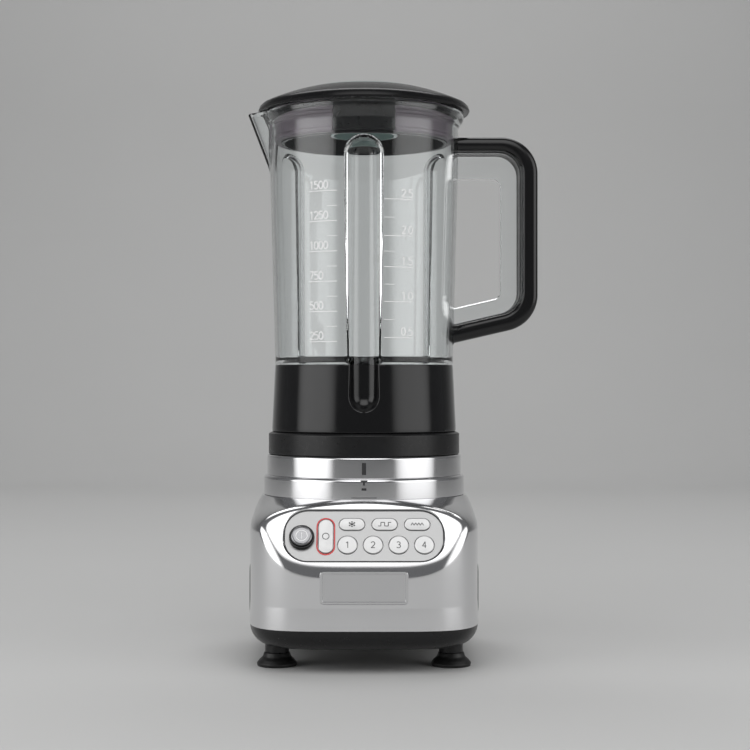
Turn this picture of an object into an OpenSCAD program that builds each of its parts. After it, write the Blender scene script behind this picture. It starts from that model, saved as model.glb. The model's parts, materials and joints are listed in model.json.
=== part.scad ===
// Countertop blender: a chromed motor base, a clear fluted jug with a handle, and a domed lid.
// Millimetres, +Z up, front towards -Y, handle towards +X. The origin is on the table, under the
// drive axis that the motor, the jug and the lid share.

/* [Motor base] */
// Width of the housing
base_w = 165; // [160:1:198]
// Depth of the housing
base_d = 205; // [200:1:246]
// Squareness of the housing's plan (superellipse power)
plan_power = 4.6; // [4:0.1:6]
// Wall of the cast housing
housing_wall = 2.5; // [2:0.1:3.5]
// Height of the base pan's underside above the table
foot_h = 17; // [15:0.5:21]
// Height of the black base pan
pan_h = 14.5; // [13:0.5:17]
// Height of the housing from the pan to the collar
housing_h = 88.5; // [86:0.5:106]
// Height of the rounded shoulder at the housing's top
shoulder_h = 22; // [18:1:26]

/* [Control panel] */
// Width of the panel
panel_w = 110; // [110:1:118]
// Height of the panel along its slope
panel_h = 38; // [38:0.5:40]
// Tilt of the panel back from upright, in degrees
panel_tilt = 30; // [28:1:32]
// Depth of the panel's face below the housing's flat
panel_recess = 0.8; // [0.4:0.1:1.2]
// Diameter of a round speed button
speed_d = 13.8; // [11.4:0.2:14]
// Width of the oblong buttons
pill_w = 18; // [15:0.5:19]
// Height of the oblong buttons
pill_h = 9.4; // [7.8:0.2:10]
// Diameter of the power knob
knob_d = 14.8; // [12:0.2:15.2]
// Travel of the small buttons
key_travel = 1; // [0.6:0.1:1.4]
// Travel of the power knob
knob_travel = 2; // [1.5:0.1:2.6]

/* [Collar] */
// Outside diameter of the collar's lower ring
lower_ring_d = 149.4; // [148:0.2:151]
// Height of each collar ring
ring_h = 15; // [13:0.5:18]
// Step in from the lower ring to the upper ring
ring_step = 2.3; // [1.5:0.1:3]

/* [Jug] */
// Height of the black ring under the jug
foot_ring_h = 16.2; // [15:0.1:20]
// Height of the black skirt above that ring
skirt_h = 49.5; // [42:0.5:60]
// Height of clear jar that shows above the skirt
clear_h = 188; // [157:1:226]
// Outside diameter of the clear jar just above the skirt
jar_low_d = 132.8; // [130:0.2:136]
// Outside diameter of the clear jar below its rim
jar_high_d = 141; // [138:0.2:146]
// Wall of the jar
jar_wall = 3; // [2.5:0.1:3.6]
// Wall of the skirt
skirt_wall = 2.6; // [2:0.1:3.2]
// Radius of each flute pressed into the jar
flute_r = 11.5; // [9.6:0.1:13.8]
// Number of flutes
flute_count = 3; // [1:1:3]

/* [Handle] */
// How far the handle reaches from the drive axis
handle_reach = 129.5; // [120:0.5:156]
// Thickness of the grip's back, in side view
grip_t = 12.8; // [10.6:0.2:15.4]
// Width of the grip across
grip_w = 23; // [19:0.5:28]
// Height between the middles of the handle's arms, at its back
handle_h = 127; // [112:1:134]
// Thickness of the clear web, across
web_t = 12; // [9:0.5:14]

/* [Lid] */
// Outside diameter of the lid
lid_d = 158; // [154:0.5:168]
// Rise of the lid's dome above its edge
lid_rise = 22.2; // [20:0.2:26]
// Diameter of the filler cap's top
cap_d = 94; // [86:1:104]
// Outside diameter of the filler cap's cup
cap_cup_d = 50; // [40:1:60]
// Depth that the lid's plug reaches into the jar
plug_h = 23.2; // [19:0.2:23.4]

/* [Drive] */
// Radius of the motor and blade shafts
shaft_r = 4; // [3.2:0.1:4.8]
// Reach of the blades from the axis
blade_reach = 38; // [30:1:46]
// Width of the motor's lamination stack
stator_w = 82; // [76:1:84]
// Height of the lamination stack
stack_h = 36; // [30:1:40]

/* [Hidden] */
$fn = 64;
fit = 0.3;      // clearance between pieces that come apart
snug = 0.15;    // clearance between pieces that stay together
slip = 0.05;    // radial clearance of a shaft that turns in its bearing
over = 1;       // how far a cutting shape runs past what it cuts

pan_z = foot_h;
housing_z = pan_z + pan_h;
housing_top = housing_z + housing_h;
shoulder_z = housing_top - shoulder_h;
shoulder_power = 2.2;
flare_out = 0.5;
flare_z = housing_z + 16;
flare_run = 15;
pan_wall = 2.5;
floor_lift = 0.7;
inner_floor = (pan_h - 1) * (1 - cos(30)) + floor_lift;
facet_wall = 5;

lower_ring_r = lower_ring_d / 2;
upper_ring_r = lower_ring_r - ring_step;
collar_foot_r = lower_ring_r + 1.2;
upper_ring_z = housing_top + ring_h;
collar_top = upper_ring_z + ring_h;
seat_r = upper_ring_r - 7.65;
seat_wall = 2.5;
seat_floor = collar_top - 17;
well_r = seat_r - seat_wall;
seal_r = 9;

ring_z = collar_top + fit;
skirt_z = ring_z + foot_ring_h;
seam_z = skirt_z + skirt_h;
jar_top = seam_z + clear_h;
foot_ring_r = upper_ring_r - 1.1;
spigot_r = well_r - fit;
spigot_z = seat_floor + 5;
plate_t = 3;
skirt_low_r = foot_ring_r - 2.6;
skirt_floor = 4;
jar_low_r = jar_low_d / 2;
jar_high_r = jar_high_d / 2;
jar_floor = skirt_z + skirt_floor;
tub_r = jar_low_r - skirt_wall - snug;
rim_h = 12;
rim_flare = 4;
jar_mid_z = seam_z + 0.71 * clear_h;
jar_mid_r = jar_low_r + 0.88 * (jar_high_r - jar_low_r);
jar_curve = [[seam_z, jar_low_r], [jar_mid_z, jar_mid_r], [jar_top - 19, jar_high_r],
    [jar_top, jar_high_r]];
flute_axis_r = (jar_low_r + jar_high_r) / 2 + 2;
flute_low = skirt_z + 15.5 + flute_r;
flute_high = jar_top - 27.5 - flute_r;
low_grow = skirt_wall + snug;

lid_r = lid_d / 2;
lid_z = jar_top + fit;
dome_top = lid_z + lid_rise;
dome_r = (pow(lid_r - 5, 2) + pow(lid_rise - 6.8, 2)) / (2 * (lid_rise - 6.8));
plug_r = jar_high_r - jar_wall - 5.5;
plug_z = lid_z - plug_h;
cap_r = cap_d / 2;
cup_r = cap_cup_d / 2;
cap_under = dome_top - (dome_r - sqrt(dome_r * dome_r - cap_r * cap_r)) - 2.8;
shelf_top = cap_under - fit;
cup_depth = 30;
tab_w = 44;

grip_top_z = jar_top - 23.5;
grip_top_t = grip_t - 2.3;
grip_low_t = grip_t;
grip_bend = 27;
grip_slope = 13;
grip_low_z = grip_top_z - handle_h;
web_top = 20.5;
web_back = 15;
web_low = 13;

spout_reach = 87;
spout_root = 62;
spout_half_w = 24;
spout_drop = 65;

foot_r = 14.4;
foot_neck_r = 8.6;
foot_flange_w = 0.6;
foot_cup_h = 9.7;
foot_at = [base_w / 2 - 20, base_d / 2 - 50];
screw_at = [base_w / 2 - 18.5, 28];
screw_r = 1.9;
post_r = 5.5;
rib_from = screw_at[0] + 4.5;
rib_to = base_w / 2 - 1.5;

panel_z = shoulder_z - 1.5;
facet_foot = housing_z + 43.5;
panel_y = base_d / 2 - (panel_z - facet_foot) * tan(panel_tilt);
panel_r = 16;
panel_t = 2.5;
panel_seal_w = 0.9;
pocket_w = panel_seal_w + snug;
ledge_w = 3;
knob_at = [-43.3, -1.6];
stop_at = [-26.6, -0.4];
stop_size = [10.6, 26];
glow_w = 1;
pill_at = [for (i = [0 : 2]) [-8.4 + 22.8 * i, 8.8]];
speed_at = [for (i = [0 : 3]) [-11.5 + 17.8 * i, -6.9]];
key_at = concat([knob_at, stop_at], pill_at, speed_at);
button_proud = 0.9;
knob_proud = 5;
bezel_w = 1.2;
bezel_h = 3;
flange_t = 1.2;
flange_w = 0.7;
stem_r = 1.6;
board_t = 1.6;
board_w = panel_w + 4;
board_h = panel_h - 7;
switch_r = 2.6;
switch_h = 2.2;
under_panel = panel_recess + panel_t + snug;
switch_top = under_panel + flange_t + knob_travel + 3;
board_top = switch_top + switch_h;
board_post_r = 2.3;

badge_size = [61, 23];
badge_z = housing_z + 30;
badge_t = 1.5;
badge_sink = 1;
rear_size = [76, 56];
rear_z = housing_z + 40;
rear_sink = 1.5;
rear_proud = 1.6;
gland_z = rear_z - 17;
cord_r = 3.6;
gland_r = 6.5;
vent_size = [74, 36];
vent_y = 12;
vent_z = housing_z + 19.5;
vent_sink = 1.3;
vent_proud = 1.6;

fan_z = pan_z + 10;
fan_r = 34;
low_bracket_z = pan_z + 22;
bracket_t = 7;
bracket_w = stator_w + 2;
stud_at = stator_w / 2 - 5;
stud_r = 2;
mount_at = stator_w / 2 - 8;
commutator_r = 11;
commutator_z = low_bracket_z + bracket_t + 2;
commutator_h = 12;
stack_z = commutator_z + commutator_h + 7;
high_bracket_z = stack_z + stack_h + 11;
rotor_r = 21;
air_gap = 0.6;
bearing_r = 9;
coil_at = [26, 34];
coil_half = 18;
coil_out = 6;
brush_half = 3;
brush_gap = 0.4;

coupling_z = seat_floor + 2;
coupling_h = 13;
coupling_hub_r = 8;
coupling_r = 12.5;
tooth_w = 3.6;
teeth = 6;
driven_r = 17;
driven_z = seat_floor + 5;
driven_top = ring_z + 2.2;

carrier_r = 25.5;
carrier_flange_r = 31;
gasket_t = 1.6;
flange_z = jar_floor + jar_wall + gasket_t;
carrier_top = flange_z + 3;
carrier_tube_r = 12;
carrier_low = skirt_z - 10;
blade_bearing_r = 8;
blade_bearing_h = 6;
carrier_screw_at = 20;
blade_z = carrier_top + 8.5;
blade_t = 1.6;
hub_r = 9;
shaft_foot = coupling_z + coupling_h + 0.5;

// ---------- outlines ----------

function smooth(t) = let (u = min(1, max(0, t))) u * u * (3 - 2 * u);

// Points on an arc about c, from angle a to angle b.
function arc(c, r, a, b, n) = [for (i = [0 : n]) c + r * [cos(a + (b - a) * i / n),
    sin(a + (b - a) * i / n)]];

// A rectangle with rounded corners, centred.
function bar_outline(w, h, r) = concat(
    arc([w / 2 - r, h / 2 - r], r, 0, 90, 8), arc([r - w / 2, h / 2 - r], r, 90, 180, 8),
    arc([r - w / 2, r - h / 2], r, 180, 270, 8), arc([w / 2 - r, r - h / 2], r, 270, 360, 8));

// A stadium, centred, lying or standing.
function pill_outline(w, h) = w > h
    ? concat(arc([(w - h) / 2, 0], h / 2, -90, 90, 16), arc([(h - w) / 2, 0], h / 2, 90, 270, 16))
    : concat(arc([0, (h - w) / 2], w / 2, 0, 180, 16), arc([0, (w - h) / 2], w / 2, 180, 360, 16));

// Points that turn the corner at p, on the way from a to b, on an arc of radius r.
function bend(a, p, b, r) =
    let (u = (a - p) / norm(a - p), v = (b - p) / norm(b - p), half = acos(u * v) / 2,
         c = p + (u + v) / norm(u + v) * r / sin(half), s = p + u * r / tan(half) - c,
         e = p + v * r / tan(half) - c, from = atan2(s[1], s[0]), turn = atan2(e[1], e[0]) - from,
         short = turn > 180 ? turn - 360 : turn < -180 ? turn + 360 : turn)
    arc(c, r, from, from + short, 12);

function reversed(points) = [for (i = [len(points) - 1 : -1 : 0]) points[i]];

// The height of the lid's dome at a radius.
function dome_at(r) = dome_top - (dome_r - sqrt(dome_r * dome_r - r * r));

// The clear jar's outside radius at a height.
function jar_r(z) = lookup(z, jar_curve);

// ---------- lofts ----------

loft_n = 72;

// Distance from the axis to a superellipse of half sizes a and b, at an angle.
function plan_r(a, b, ang) =
    pow(pow(abs(cos(ang)) / a, plan_power) + pow(abs(sin(ang)) / b, plan_power), -1 / plan_power);

// The housing's outside: a superellipse with a slight flare at its foot, closing to a circle under
// the collar. All of it can be moved in by inset.
function housing_r(ang, z, inset) =
    let (rise = min(1, max(0, (z - shoulder_z) / shoulder_h)), close = pow(rise, shoulder_power),
         flare = flare_out * smooth((flare_z - z) / flare_run) - inset,
         wide = plan_r(base_w / 2 + flare, base_d / 2 + flare, ang))
    wide * (1 - close) + (collar_foot_r - inset) * close;

// The base pan's outside: the housing's plan with a rounded bottom edge.
function pan_r(ang, z, inset) =
    let (round = pan_h - 1, drop = max(0, pan_z + round - z),
         tuck = round - sqrt(max(0, round * round - drop * drop)) + inset - flare_out + 0.5)
    plan_r(base_w / 2 - tuck, base_d / 2 - tuck, ang);

function level(z, radii) = [for (i = [0 : loft_n - 1])
    [radii[i] * cos(360 * i / loft_n), radii[i] * sin(360 * i / loft_n), z]];
function housing_level(z, inset) = level(z, [for (i = [0 : loft_n - 1]) housing_r(360 * i / loft_n, z,
    inset)]);
function pan_level(z, inset) = level(z, [for (i = [0 : loft_n - 1]) pan_r(360 * i / loft_n, z, inset)]);

// A closed solid through levels of loft_n points each, from the lowest up.
module loft(levels) {
    n = loft_n;
    m = len(levels);
    walls = [for (k = [0 : m - 2], i = [0 : n - 1]) each
        let (j = (i + 1) % n, a = k * n)
        [[a + j, a + i, a + n + j], [a + i, a + n + i, a + n + j]]];
    bottom = [for (i = [0 : n - 1]) i];
    top = [for (i = [n - 1 : -1 : 0]) (m - 1) * n + i];
    polyhedron(points = [for (one = levels) each one], faces = concat([bottom, top], walls),
        convexity = 6);
}

// ---------- small shapes ----------

module ring(r_out, r_in, h) {
    difference() {
        cylinder(r = r_out, h = h);
        translate([0, 0, -over]) cylinder(r = r_in, h = h + 2 * over);
    }
}

module slab(outline, h) {
    linear_extrude(height = h) polygon(outline);
}

module turned(profile) {
    rotate_extrude() polygon(profile);
}

// Something at each corner of a rectangle of half sizes at[0] and at[1].
module corners(at) {
    for (sx = [-1, 1], sy = [-1, 1]) translate([sx * at[0], sy * at[1], 0]) children();
}

// A cap screw standing on its head, its shank rising from z = 0.
module screw(r, h, head_r, head_h) {
    difference() {
        turned([[0, -head_h], [head_r, -head_h], [head_r, 0], [r, 0], [r, h - r / 2], [r / 2, h], [0, h]]);
        translate([0, 0, -head_h - over]) cylinder(r = head_r * 0.45, h = head_h * 0.6 + over, $fn = 6);
    }
}

// The flutes, grown outwards by a wall: rods with a ball at each end. Below step they may be thicker.
module flutes(grow, low_extra = 0, step = 0) {
    r = flute_r + grow;
    low = step > 0 ? [[r + low_extra, step], [r, step]] : [];
    profile = concat(arc([0, flute_low], r + low_extra, -90, 0, 12), low,
        arc([0, flute_high], r, 0, 90, 12));
    for (i = [0 : flute_count - 1]) rotate([0, 0, -90 + i * 360 / flute_count])
        translate([flute_axis_r, 0, 0]) turned(profile);
}

// The jar's outside without its flutes, grown by a wall, from the seam to the rim.
module jar_envelope(grow) {
    turned([[0, seam_z - over], [jar_low_r + grow, seam_z - over], [jar_mid_r + grow, jar_mid_z],
        [jar_high_r + grow, jar_top - 19], [jar_high_r + grow, jar_top - rim_h], [0, jar_top - rim_h]]);
}

// The panel's own frame: X to the right, Y up the slope, Z straight out of the housing's flat.
module panel_frame() {
    translate([0, -panel_y, panel_z]) rotate([90 - panel_tilt, 0, 0]) children();
}

// The block in front of the housing's slanted flat, moved in by inset.
module facet_block(inset) {
    panel_frame() translate([-base_w, -100, -inset]) cube([2 * base_w, 200, base_d]);
}

// ---------- motor base ----------

module housing() {
    outer = concat([for (z = [housing_z, flare_z - flare_run, flare_z - flare_run / 2, flare_z])
        housing_level(z, 0)],
        [for (i = [0 : 12]) housing_level(shoulder_z + shoulder_h * i / 12, 0)]);
    roof = housing_top - housing_wall;
    inner = concat([for (z = [housing_z - over, shoulder_z])
            level(z, [for (i = [0 : loft_n - 1]) housing_r(360 * i / loft_n, shoulder_z, housing_wall)])],
        [for (i = [1 : 5]) housing_level(shoulder_z + (roof - shoulder_z) * i / 5, housing_wall)]);
    color("silver") {
        difference() {
            loft(outer);
            difference() {
                loft(inner);
                facet_block(facet_wall);
            }
            facet_block(0);
            translate([0, 0, roof - over]) cylinder(r = well_r - 1.5, h = housing_wall + 2 * over);
            panel_frame() translate([0, 0, -panel_recess - panel_t])
                slab(bar_outline(panel_w + 2 * pocket_w, panel_h + 2 * pocket_w, panel_r + pocket_w), 20);
            panel_frame() translate([0, 0, -facet_wall - over])
                slab(bar_outline(panel_w - 2 * ledge_w, panel_h - 2 * ledge_w, panel_r - ledge_w), 20);
            badge_shape(base_d / 2 - badge_sink, 20, 0, snug);
            rear_shape(base_d / 2 - rear_sink, 20, 0, snug);
            rear_shape(base_d / 2 - 10, 20, 4, 0);
            for (side = [-1, 1]) {
                vent_shape(side, base_w / 2 - vent_sink, 20, 0, snug);
                vent_shape(side, base_w / 2 - 10, 20, 4, 0);
            }
        }
        corners(screw_at) translate([0, 0, housing_z]) ring(post_r, screw_r + slip, 26);
        for (sx = [-1, 1], sy = [-1, 1])
            translate([sx > 0 ? rib_from : -rib_to, sy * screw_at[1] - 1.5, housing_z])
                cube([rib_to - rib_from, 3, 5.3]);
        for (sx = [-1, 1], sy = [-1, 1])
            panel_frame() translate([sx * (panel_w / 2 - 0.5), sy * 8, -board_top])
                cylinder(r = board_post_r, h = board_top - facet_wall + 0.5);
    }
}

module badge_shape(y, t, shrink, grow) {
    translate([0, -y, badge_z]) rotate([90, 0, 0])
        slab(bar_outline(badge_size[0] + 2 * (grow - shrink), badge_size[1] + 2 * (grow - shrink),
            3 + grow), t);
}

module rear_shape(y, t, shrink, grow) {
    translate([0, y + t, rear_z]) rotate([90, 0, 0])
        slab(bar_outline(rear_size[0] + 2 * (grow - shrink), rear_size[1] + 2 * (grow - shrink),
            8 + grow - shrink), t);
}

module vent_shape(side, x, t, shrink, grow) {
    translate([side > 0 ? x : -x - t, vent_y, vent_z]) rotate([90, 0, 90])
        slab(bar_outline(vent_size[0] + 2 * (grow - shrink), vent_size[1] + 2 * (grow - shrink),
            7 + grow - shrink), t);
}

module collar_lower_ring() {
    r = lower_ring_r;
    color("silver") turned(concat([[seat_r + snug, housing_top], [r - 0.6, housing_top],
        [r, housing_top + 0.6]],
        arc([r - 2.6, upper_ring_z - 2.6], 2.6, 0, 90, 6), [[seat_r + snug, upper_ring_z]]));
}

module collar_upper_ring() {
    r = upper_ring_r;
    color("silver") turned(concat([[seat_r + snug, upper_ring_z], [r, upper_ring_z]],
        arc([r - 1.8, collar_top - 1.8], 1.8, 0, 90, 6), [[seat_r + snug, collar_top]]));
}

module jug_seat() {
    color([0.09, 0.09, 0.1]) turned([[seal_r + snug, seat_floor - 2.5], [well_r, seat_floor - 2.5],
        [well_r, housing_top],
        [seat_r, housing_top], [seat_r, collar_top], [well_r, collar_top], [well_r, seat_floor],
        [seal_r + snug, seat_floor]]);
}

module seat_seal() {
    color([0.15, 0.15, 0.16]) turned([[shaft_r + slip, seat_floor - 4], [seal_r + snug, seat_floor - 4],
        [seal_r + 2, seat_floor - 4], [seal_r + 2, seat_floor - 2.5], [seal_r, seat_floor - 2.5],
            [seal_r, seat_floor + 0.8],
        [shaft_r + slip, seat_floor + 0.8]]);
}

module key_holes(grow) {
    translate([knob_at[0], knob_at[1], 0]) cylinder(r = knob_d / 2 + grow, h = 20, center = true);
    translate([stop_at[0], stop_at[1], -10])
        slab(pill_outline(stop_size[0] + 2 * (fit + glow_w), stop_size[1] + 2 * (fit + glow_w)), 20);
    for (at = pill_at) translate([at[0], at[1], -10]) slab(pill_outline(pill_w + 2 * grow,
        pill_h + 2 * grow), 20);
    for (at = speed_at) translate([at[0], at[1], 0]) cylinder(r = speed_d / 2 + grow, h = 20,
        center = true);
}

module control_panel() {
    color([0.78, 0.78, 0.77]) panel_frame() difference() {
        translate([0, 0, -panel_recess - panel_t]) slab(bar_outline(panel_w, panel_h, panel_r), panel_t);
        key_holes(fit);
    }
}

module panel_seal() {
    w = panel_seal_w;
    color([0.12, 0.12, 0.13]) panel_frame() translate([0, 0, -panel_recess - panel_t]) difference() {
        slab(bar_outline(panel_w + 2 * w, panel_h + 2 * w, panel_r + w), panel_t + 0.3);
        translate([0, 0, -over]) slab(bar_outline(panel_w + 0.1, panel_h + 0.1, panel_r + 0.05),
            panel_t + 2 * over);
    }
}

module power_bezel() {
    color([0.06, 0.06, 0.06]) panel_frame() translate([knob_at[0], knob_at[1], -panel_recess])
        turned([[knob_d / 2 + fit, 0], [knob_d / 2 + fit + bezel_w, 0], [knob_d / 2 + fit + bezel_w,
            bezel_h - 1],
            [knob_d / 2 + fit + bezel_w - 0.5, bezel_h], [knob_d / 2 + fit, bezel_h]]);
}

module indicator_ring() {
    color([0.75, 0.08, 0.08]) panel_frame()
        translate([stop_at[0], stop_at[1], -panel_recess - panel_t]) difference() {
            slab(pill_outline(stop_size[0] + 2 * (fit + glow_w), stop_size[1] + 2 * (fit + glow_w)),
                panel_t + 0.2);
            translate([0, 0, -over]) slab(pill_outline(stop_size[0] + 2 * fit, stop_size[1] + 2 * fit),
                panel_t + 2 * over);
        }
}

module control_board() {
    color([0.1, 0.35, 0.18]) panel_frame() translate([0, 0, -board_top - board_t])
        slab(bar_outline(board_w, board_h, 3), board_t);
}

module button_switches() {
    color([0.2, 0.2, 0.22]) panel_frame() for (at = key_at)
        translate([at[0], at[1], -board_top]) cylinder(r = switch_r, h = switch_h);
}

module base_pan() {
    outer = [for (i = [0 : 6]) pan_level(pan_z + (pan_h - 1) * (1 - cos(15 * i)), 0)];
    inner = [for (i = [2 : 6]) pan_level(pan_z + (pan_h - 1) * (1 - cos(15 * i)) + (i == 2 ? floor_lift : 0),
        pan_wall)];
    color([0.1, 0.1, 0.1]) difference() {
        union() {
            difference() {
                loft(concat(outer, [pan_level(housing_z, 0)]));
                loft(concat(inner, [pan_level(housing_z + over, pan_wall)]));
            }
            corners(screw_at) translate([0, 0, pan_z + pan_wall - 0.5]) cylinder(r = post_r,
                h = pan_h - pan_wall + 0.5);
        }
        corners(screw_at) translate([0, 0, pan_z - over]) cylinder(r = screw_r + slip,
            h = pan_h + 2 * over);
        corners(screw_at) translate([0, 0, pan_z - over]) cylinder(r = 4, h = 3.5 + over);
        corners(foot_at) translate([0, 0, pan_z - over]) cylinder(r = foot_neck_r + snug,
            h = pan_wall + 2 * over);
        for (i = [-3 : 3]) translate([i * 7 - 1.6, -22, pan_z - over])
            cube([3.2, 44, pan_wall + 2 * over]);
    }
}

module base_screws() {
    color([0.7, 0.7, 0.72]) corners(screw_at) translate([0, 0, pan_z + 3.5]) screw(screw_r, pan_h + 12,
        3.6, 2.5);
}

module foot_posts() {
    color([0.12, 0.12, 0.12]) corners(foot_at) turned([[0, foot_cup_h], [foot_neck_r, foot_cup_h],
        [foot_neck_r, pan_z + inner_floor], [foot_neck_r + foot_flange_w, pan_z + inner_floor],
        [foot_neck_r + foot_flange_w, pan_z + inner_floor + 2], [0, pan_z + inner_floor + 2]]);
}

module suction_feet() {
    color([0.07, 0.07, 0.07]) corners(foot_at) turned([[0, 3.6], [8, 3.2], [12.4, 0], [foot_r - 0.4,
        0], [foot_r, 1.4],
        [foot_r, 2.9], [foot_r - 1.4, 4.4], [11, 6], [9.6, 7.8], [foot_neck_r + 0.6, foot_cup_h],
            [0, foot_cup_h]]);
}

module rear_cover() {
    t = rear_sink + rear_proud;
    color([0.1, 0.1, 0.1]) difference() {
        rear_shape(base_d / 2 - rear_sink, t, 0, 0);
        for (i = [0 : 4]) translate([-28, base_d / 2 - 10, rear_z - 4 + i * 6]) cube([56, 20, 3]);
        translate([0, base_d / 2 - 10, gland_z]) rotate([-90, 0, 0]) cylinder(r = gland_r + snug, h = 20);
    }
}

module side_vents() {
    color([0.1, 0.1, 0.1]) for (side = [-1, 1]) difference() {
        vent_shape(side, base_w / 2 - vent_sink, vent_sink + vent_proud, 0, 0);
        for (i = [0 : 7]) translate([side * base_w / 2 - 10, vent_y - 29 + i * 7.6, vent_z - 11])
            cube([20, 3.6, 22]);
    }
}

module cord_gland() {
    face = base_d / 2 + rear_proud;
    color([0.08, 0.08, 0.08]) translate([0, face, gland_z]) rotate([-90, 0, 0])
        turned([[cord_r, -9], [gland_r, -9], [gland_r, 0], [10, 0], [10, 1.8], [8, 4], [6.6, 7],
            [cord_r, 7]]);
}

module badge_plate() {
    color([0.82, 0.82, 0.82]) badge_shape(base_d / 2 - badge_sink, badge_t, 0, 0);
}

// ---------- motor ----------

module bracket(z, leg_z, leg_h) {
    difference() {
        union() {
            translate([0, 0, z]) slab(bar_outline(bracket_w, bracket_w, 10), bracket_t);
            corners([stud_at, stud_at]) translate([0, 0, leg_z]) cylinder(r = 4.6, h = leg_h);
        }
        translate([0, 0, z - over]) cylinder(r = bearing_r, h = bracket_t + 2 * over);
        for (i = [0 : 3]) rotate([0, 0, i * 90]) translate([14, -7, z - over])
            cube([18, 14, bracket_t + 2 * over]);
        corners([stud_at, stud_at]) translate([0, 0, z - 30]) cylinder(r = stud_r + snug, h = 80);
    }
}

module motor_top_bracket() {
    color([0.65, 0.66, 0.68]) bracket(high_bracket_z, stack_z + stack_h, high_bracket_z - stack_z -
        stack_h + 1);
}

module motor_bottom_bracket() {
    color([0.65, 0.66, 0.68]) bracket(low_bracket_z, low_bracket_z + bracket_t - 1,
        stack_z - low_bracket_z - bracket_t + 1);
}

module motor_stator() {
    color([0.5, 0.5, 0.52]) translate([0, 0, stack_z]) difference() {
        slab(bar_outline(stator_w, stator_w, 9), stack_h);
        translate([0, 0, -over]) cylinder(r = rotor_r + air_gap, h = stack_h + 2 * over);
        for (sx = [-1, 1]) translate([sx > 0 ? coil_at[0] : -coil_at[1], -coil_half, -over])
            cube([coil_at[1] - coil_at[0], 2 * coil_half, stack_h + 2 * over]);
        corners([stud_at, stud_at]) translate([0, 0, -over]) cylinder(r = stud_r + snug,
            h = stack_h + 2 * over);
    }
}

module field_windings() {
    color([0.72, 0.4, 0.2]) for (sx = [-1, 1])
        translate([sx > 0 ? coil_at[0] : -coil_at[1], -coil_half, stack_z - coil_out])
            cube([coil_at[1] - coil_at[0], 2 * coil_half, stack_h + 2 * coil_out]);
}

module motor_bearings() {
    color([0.75, 0.75, 0.78]) for (z = [low_bracket_z, high_bracket_z])
        translate([0, 0, z]) ring(bearing_r, shaft_r + slip, bracket_t);
}

module brush_holders() {
    color([0.45, 0.3, 0.15]) for (sy = [-1, 1]) difference() {
        translate([-6, sy > 0 ? 14 : -34, low_bracket_z + bracket_t]) cube([12, 20, commutator_h + 2]);
        translate([-brush_half, sy > 0 ? 13 : -32, commutator_z + 2])
            cube([2 * brush_half, 19, commutator_h - 4]);
    }
}

module carbon_brushes() {
    reach = 32 - commutator_r - brush_gap;
    color([0.13, 0.13, 0.13]) for (sy = [-1, 1])
        translate([-brush_half, sy > 0 ? commutator_r + brush_gap : -32, commutator_z + 2])
            cube([2 * brush_half, reach, commutator_h - 4]);
}

module motor_screws() {
    length = high_bracket_z + bracket_t - low_bracket_z;
    color([0.7, 0.7, 0.72]) corners([stud_at, stud_at]) translate([0, 0, high_bracket_z + bracket_t])
        mirror([0, 0, 1]) screw(stud_r, length, 3.6, 2.6);
}

module motor_mounts() {
    color([0.1, 0.1, 0.1]) corners([mount_at, mount_at]) translate([0, 0, pan_z + inner_floor])
        turned([[0, 0], [6, 0], [6, 4], [4.6, 6.5], [4.6, low_bracket_z - pan_z - inner_floor - 6.5],
            [6, low_bracket_z - pan_z - inner_floor - 4], [6, low_bracket_z - pan_z - inner_floor],
            [0, low_bracket_z - pan_z - inner_floor]]);
}

module rotor_shaft() {
    color([0.72, 0.72, 0.75]) translate([0, 0, fan_z - 3])
        cylinder(r = shaft_r, h = coupling_z + coupling_h - 3 - fan_z + 3);
}

module rotor_core() {
    color([0.42, 0.42, 0.45]) translate([0, 0, stack_z]) difference() {
        ring(rotor_r, shaft_r, stack_h);
        for (i = [0 : 11]) rotate([0, 0, i * 30]) translate([rotor_r - 5, -1.2, -over])
            cube([6, 2.4, stack_h + 2 * over]);
    }
}

module commutator() {
    color([0.75, 0.45, 0.25]) translate([0, 0, commutator_z]) ring(commutator_r, shaft_r, commutator_h);
}

module cooling_fan() {
    color([0.25, 0.25, 0.27]) translate([0, 0, fan_z]) difference() {
        union() {
            cylinder(r = 10, h = 9);
            translate([0, 0, 7.5]) cylinder(r = fan_r, h = 1.5);
            for (i = [0 : 8]) rotate([0, 0, i * 40]) translate([8, -0.8, 0]) cube([fan_r - 9, 1.6, 8]);
        }
        translate([0, 0, -over]) cylinder(r = shaft_r, h = 12);
    }
}

module drive_coupling() {
    color([0.15, 0.15, 0.15]) translate([0, 0, coupling_z]) difference() {
        union() {
            cylinder(r = coupling_hub_r, h = coupling_h);
            for (i = [0 : teeth - 1]) rotate([0, 0, i * 360 / teeth])
                translate([coupling_hub_r - 1.5, -tooth_w / 2, 0])
                    cube([coupling_r - coupling_hub_r + 1.5, tooth_w, coupling_h]);
        }
        translate([0, 0, -over]) cylinder(r = shaft_r, h = coupling_h - 3 + over);
    }
}

// ---------- jug ----------

hub_hole_r = carrier_r + fit;

module spout_wedge() {
    polyhedron(points = [[-spout_reach, 0, jar_top], [-spout_root, -spout_half_w, jar_top],
            [-spout_root, spout_half_w, jar_top], [-spout_root, 0, jar_top - spout_drop]],
        faces = [[0, 2, 1], [0, 1, 3], [0, 3, 2], [1, 2, 3]]);
}

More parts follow.
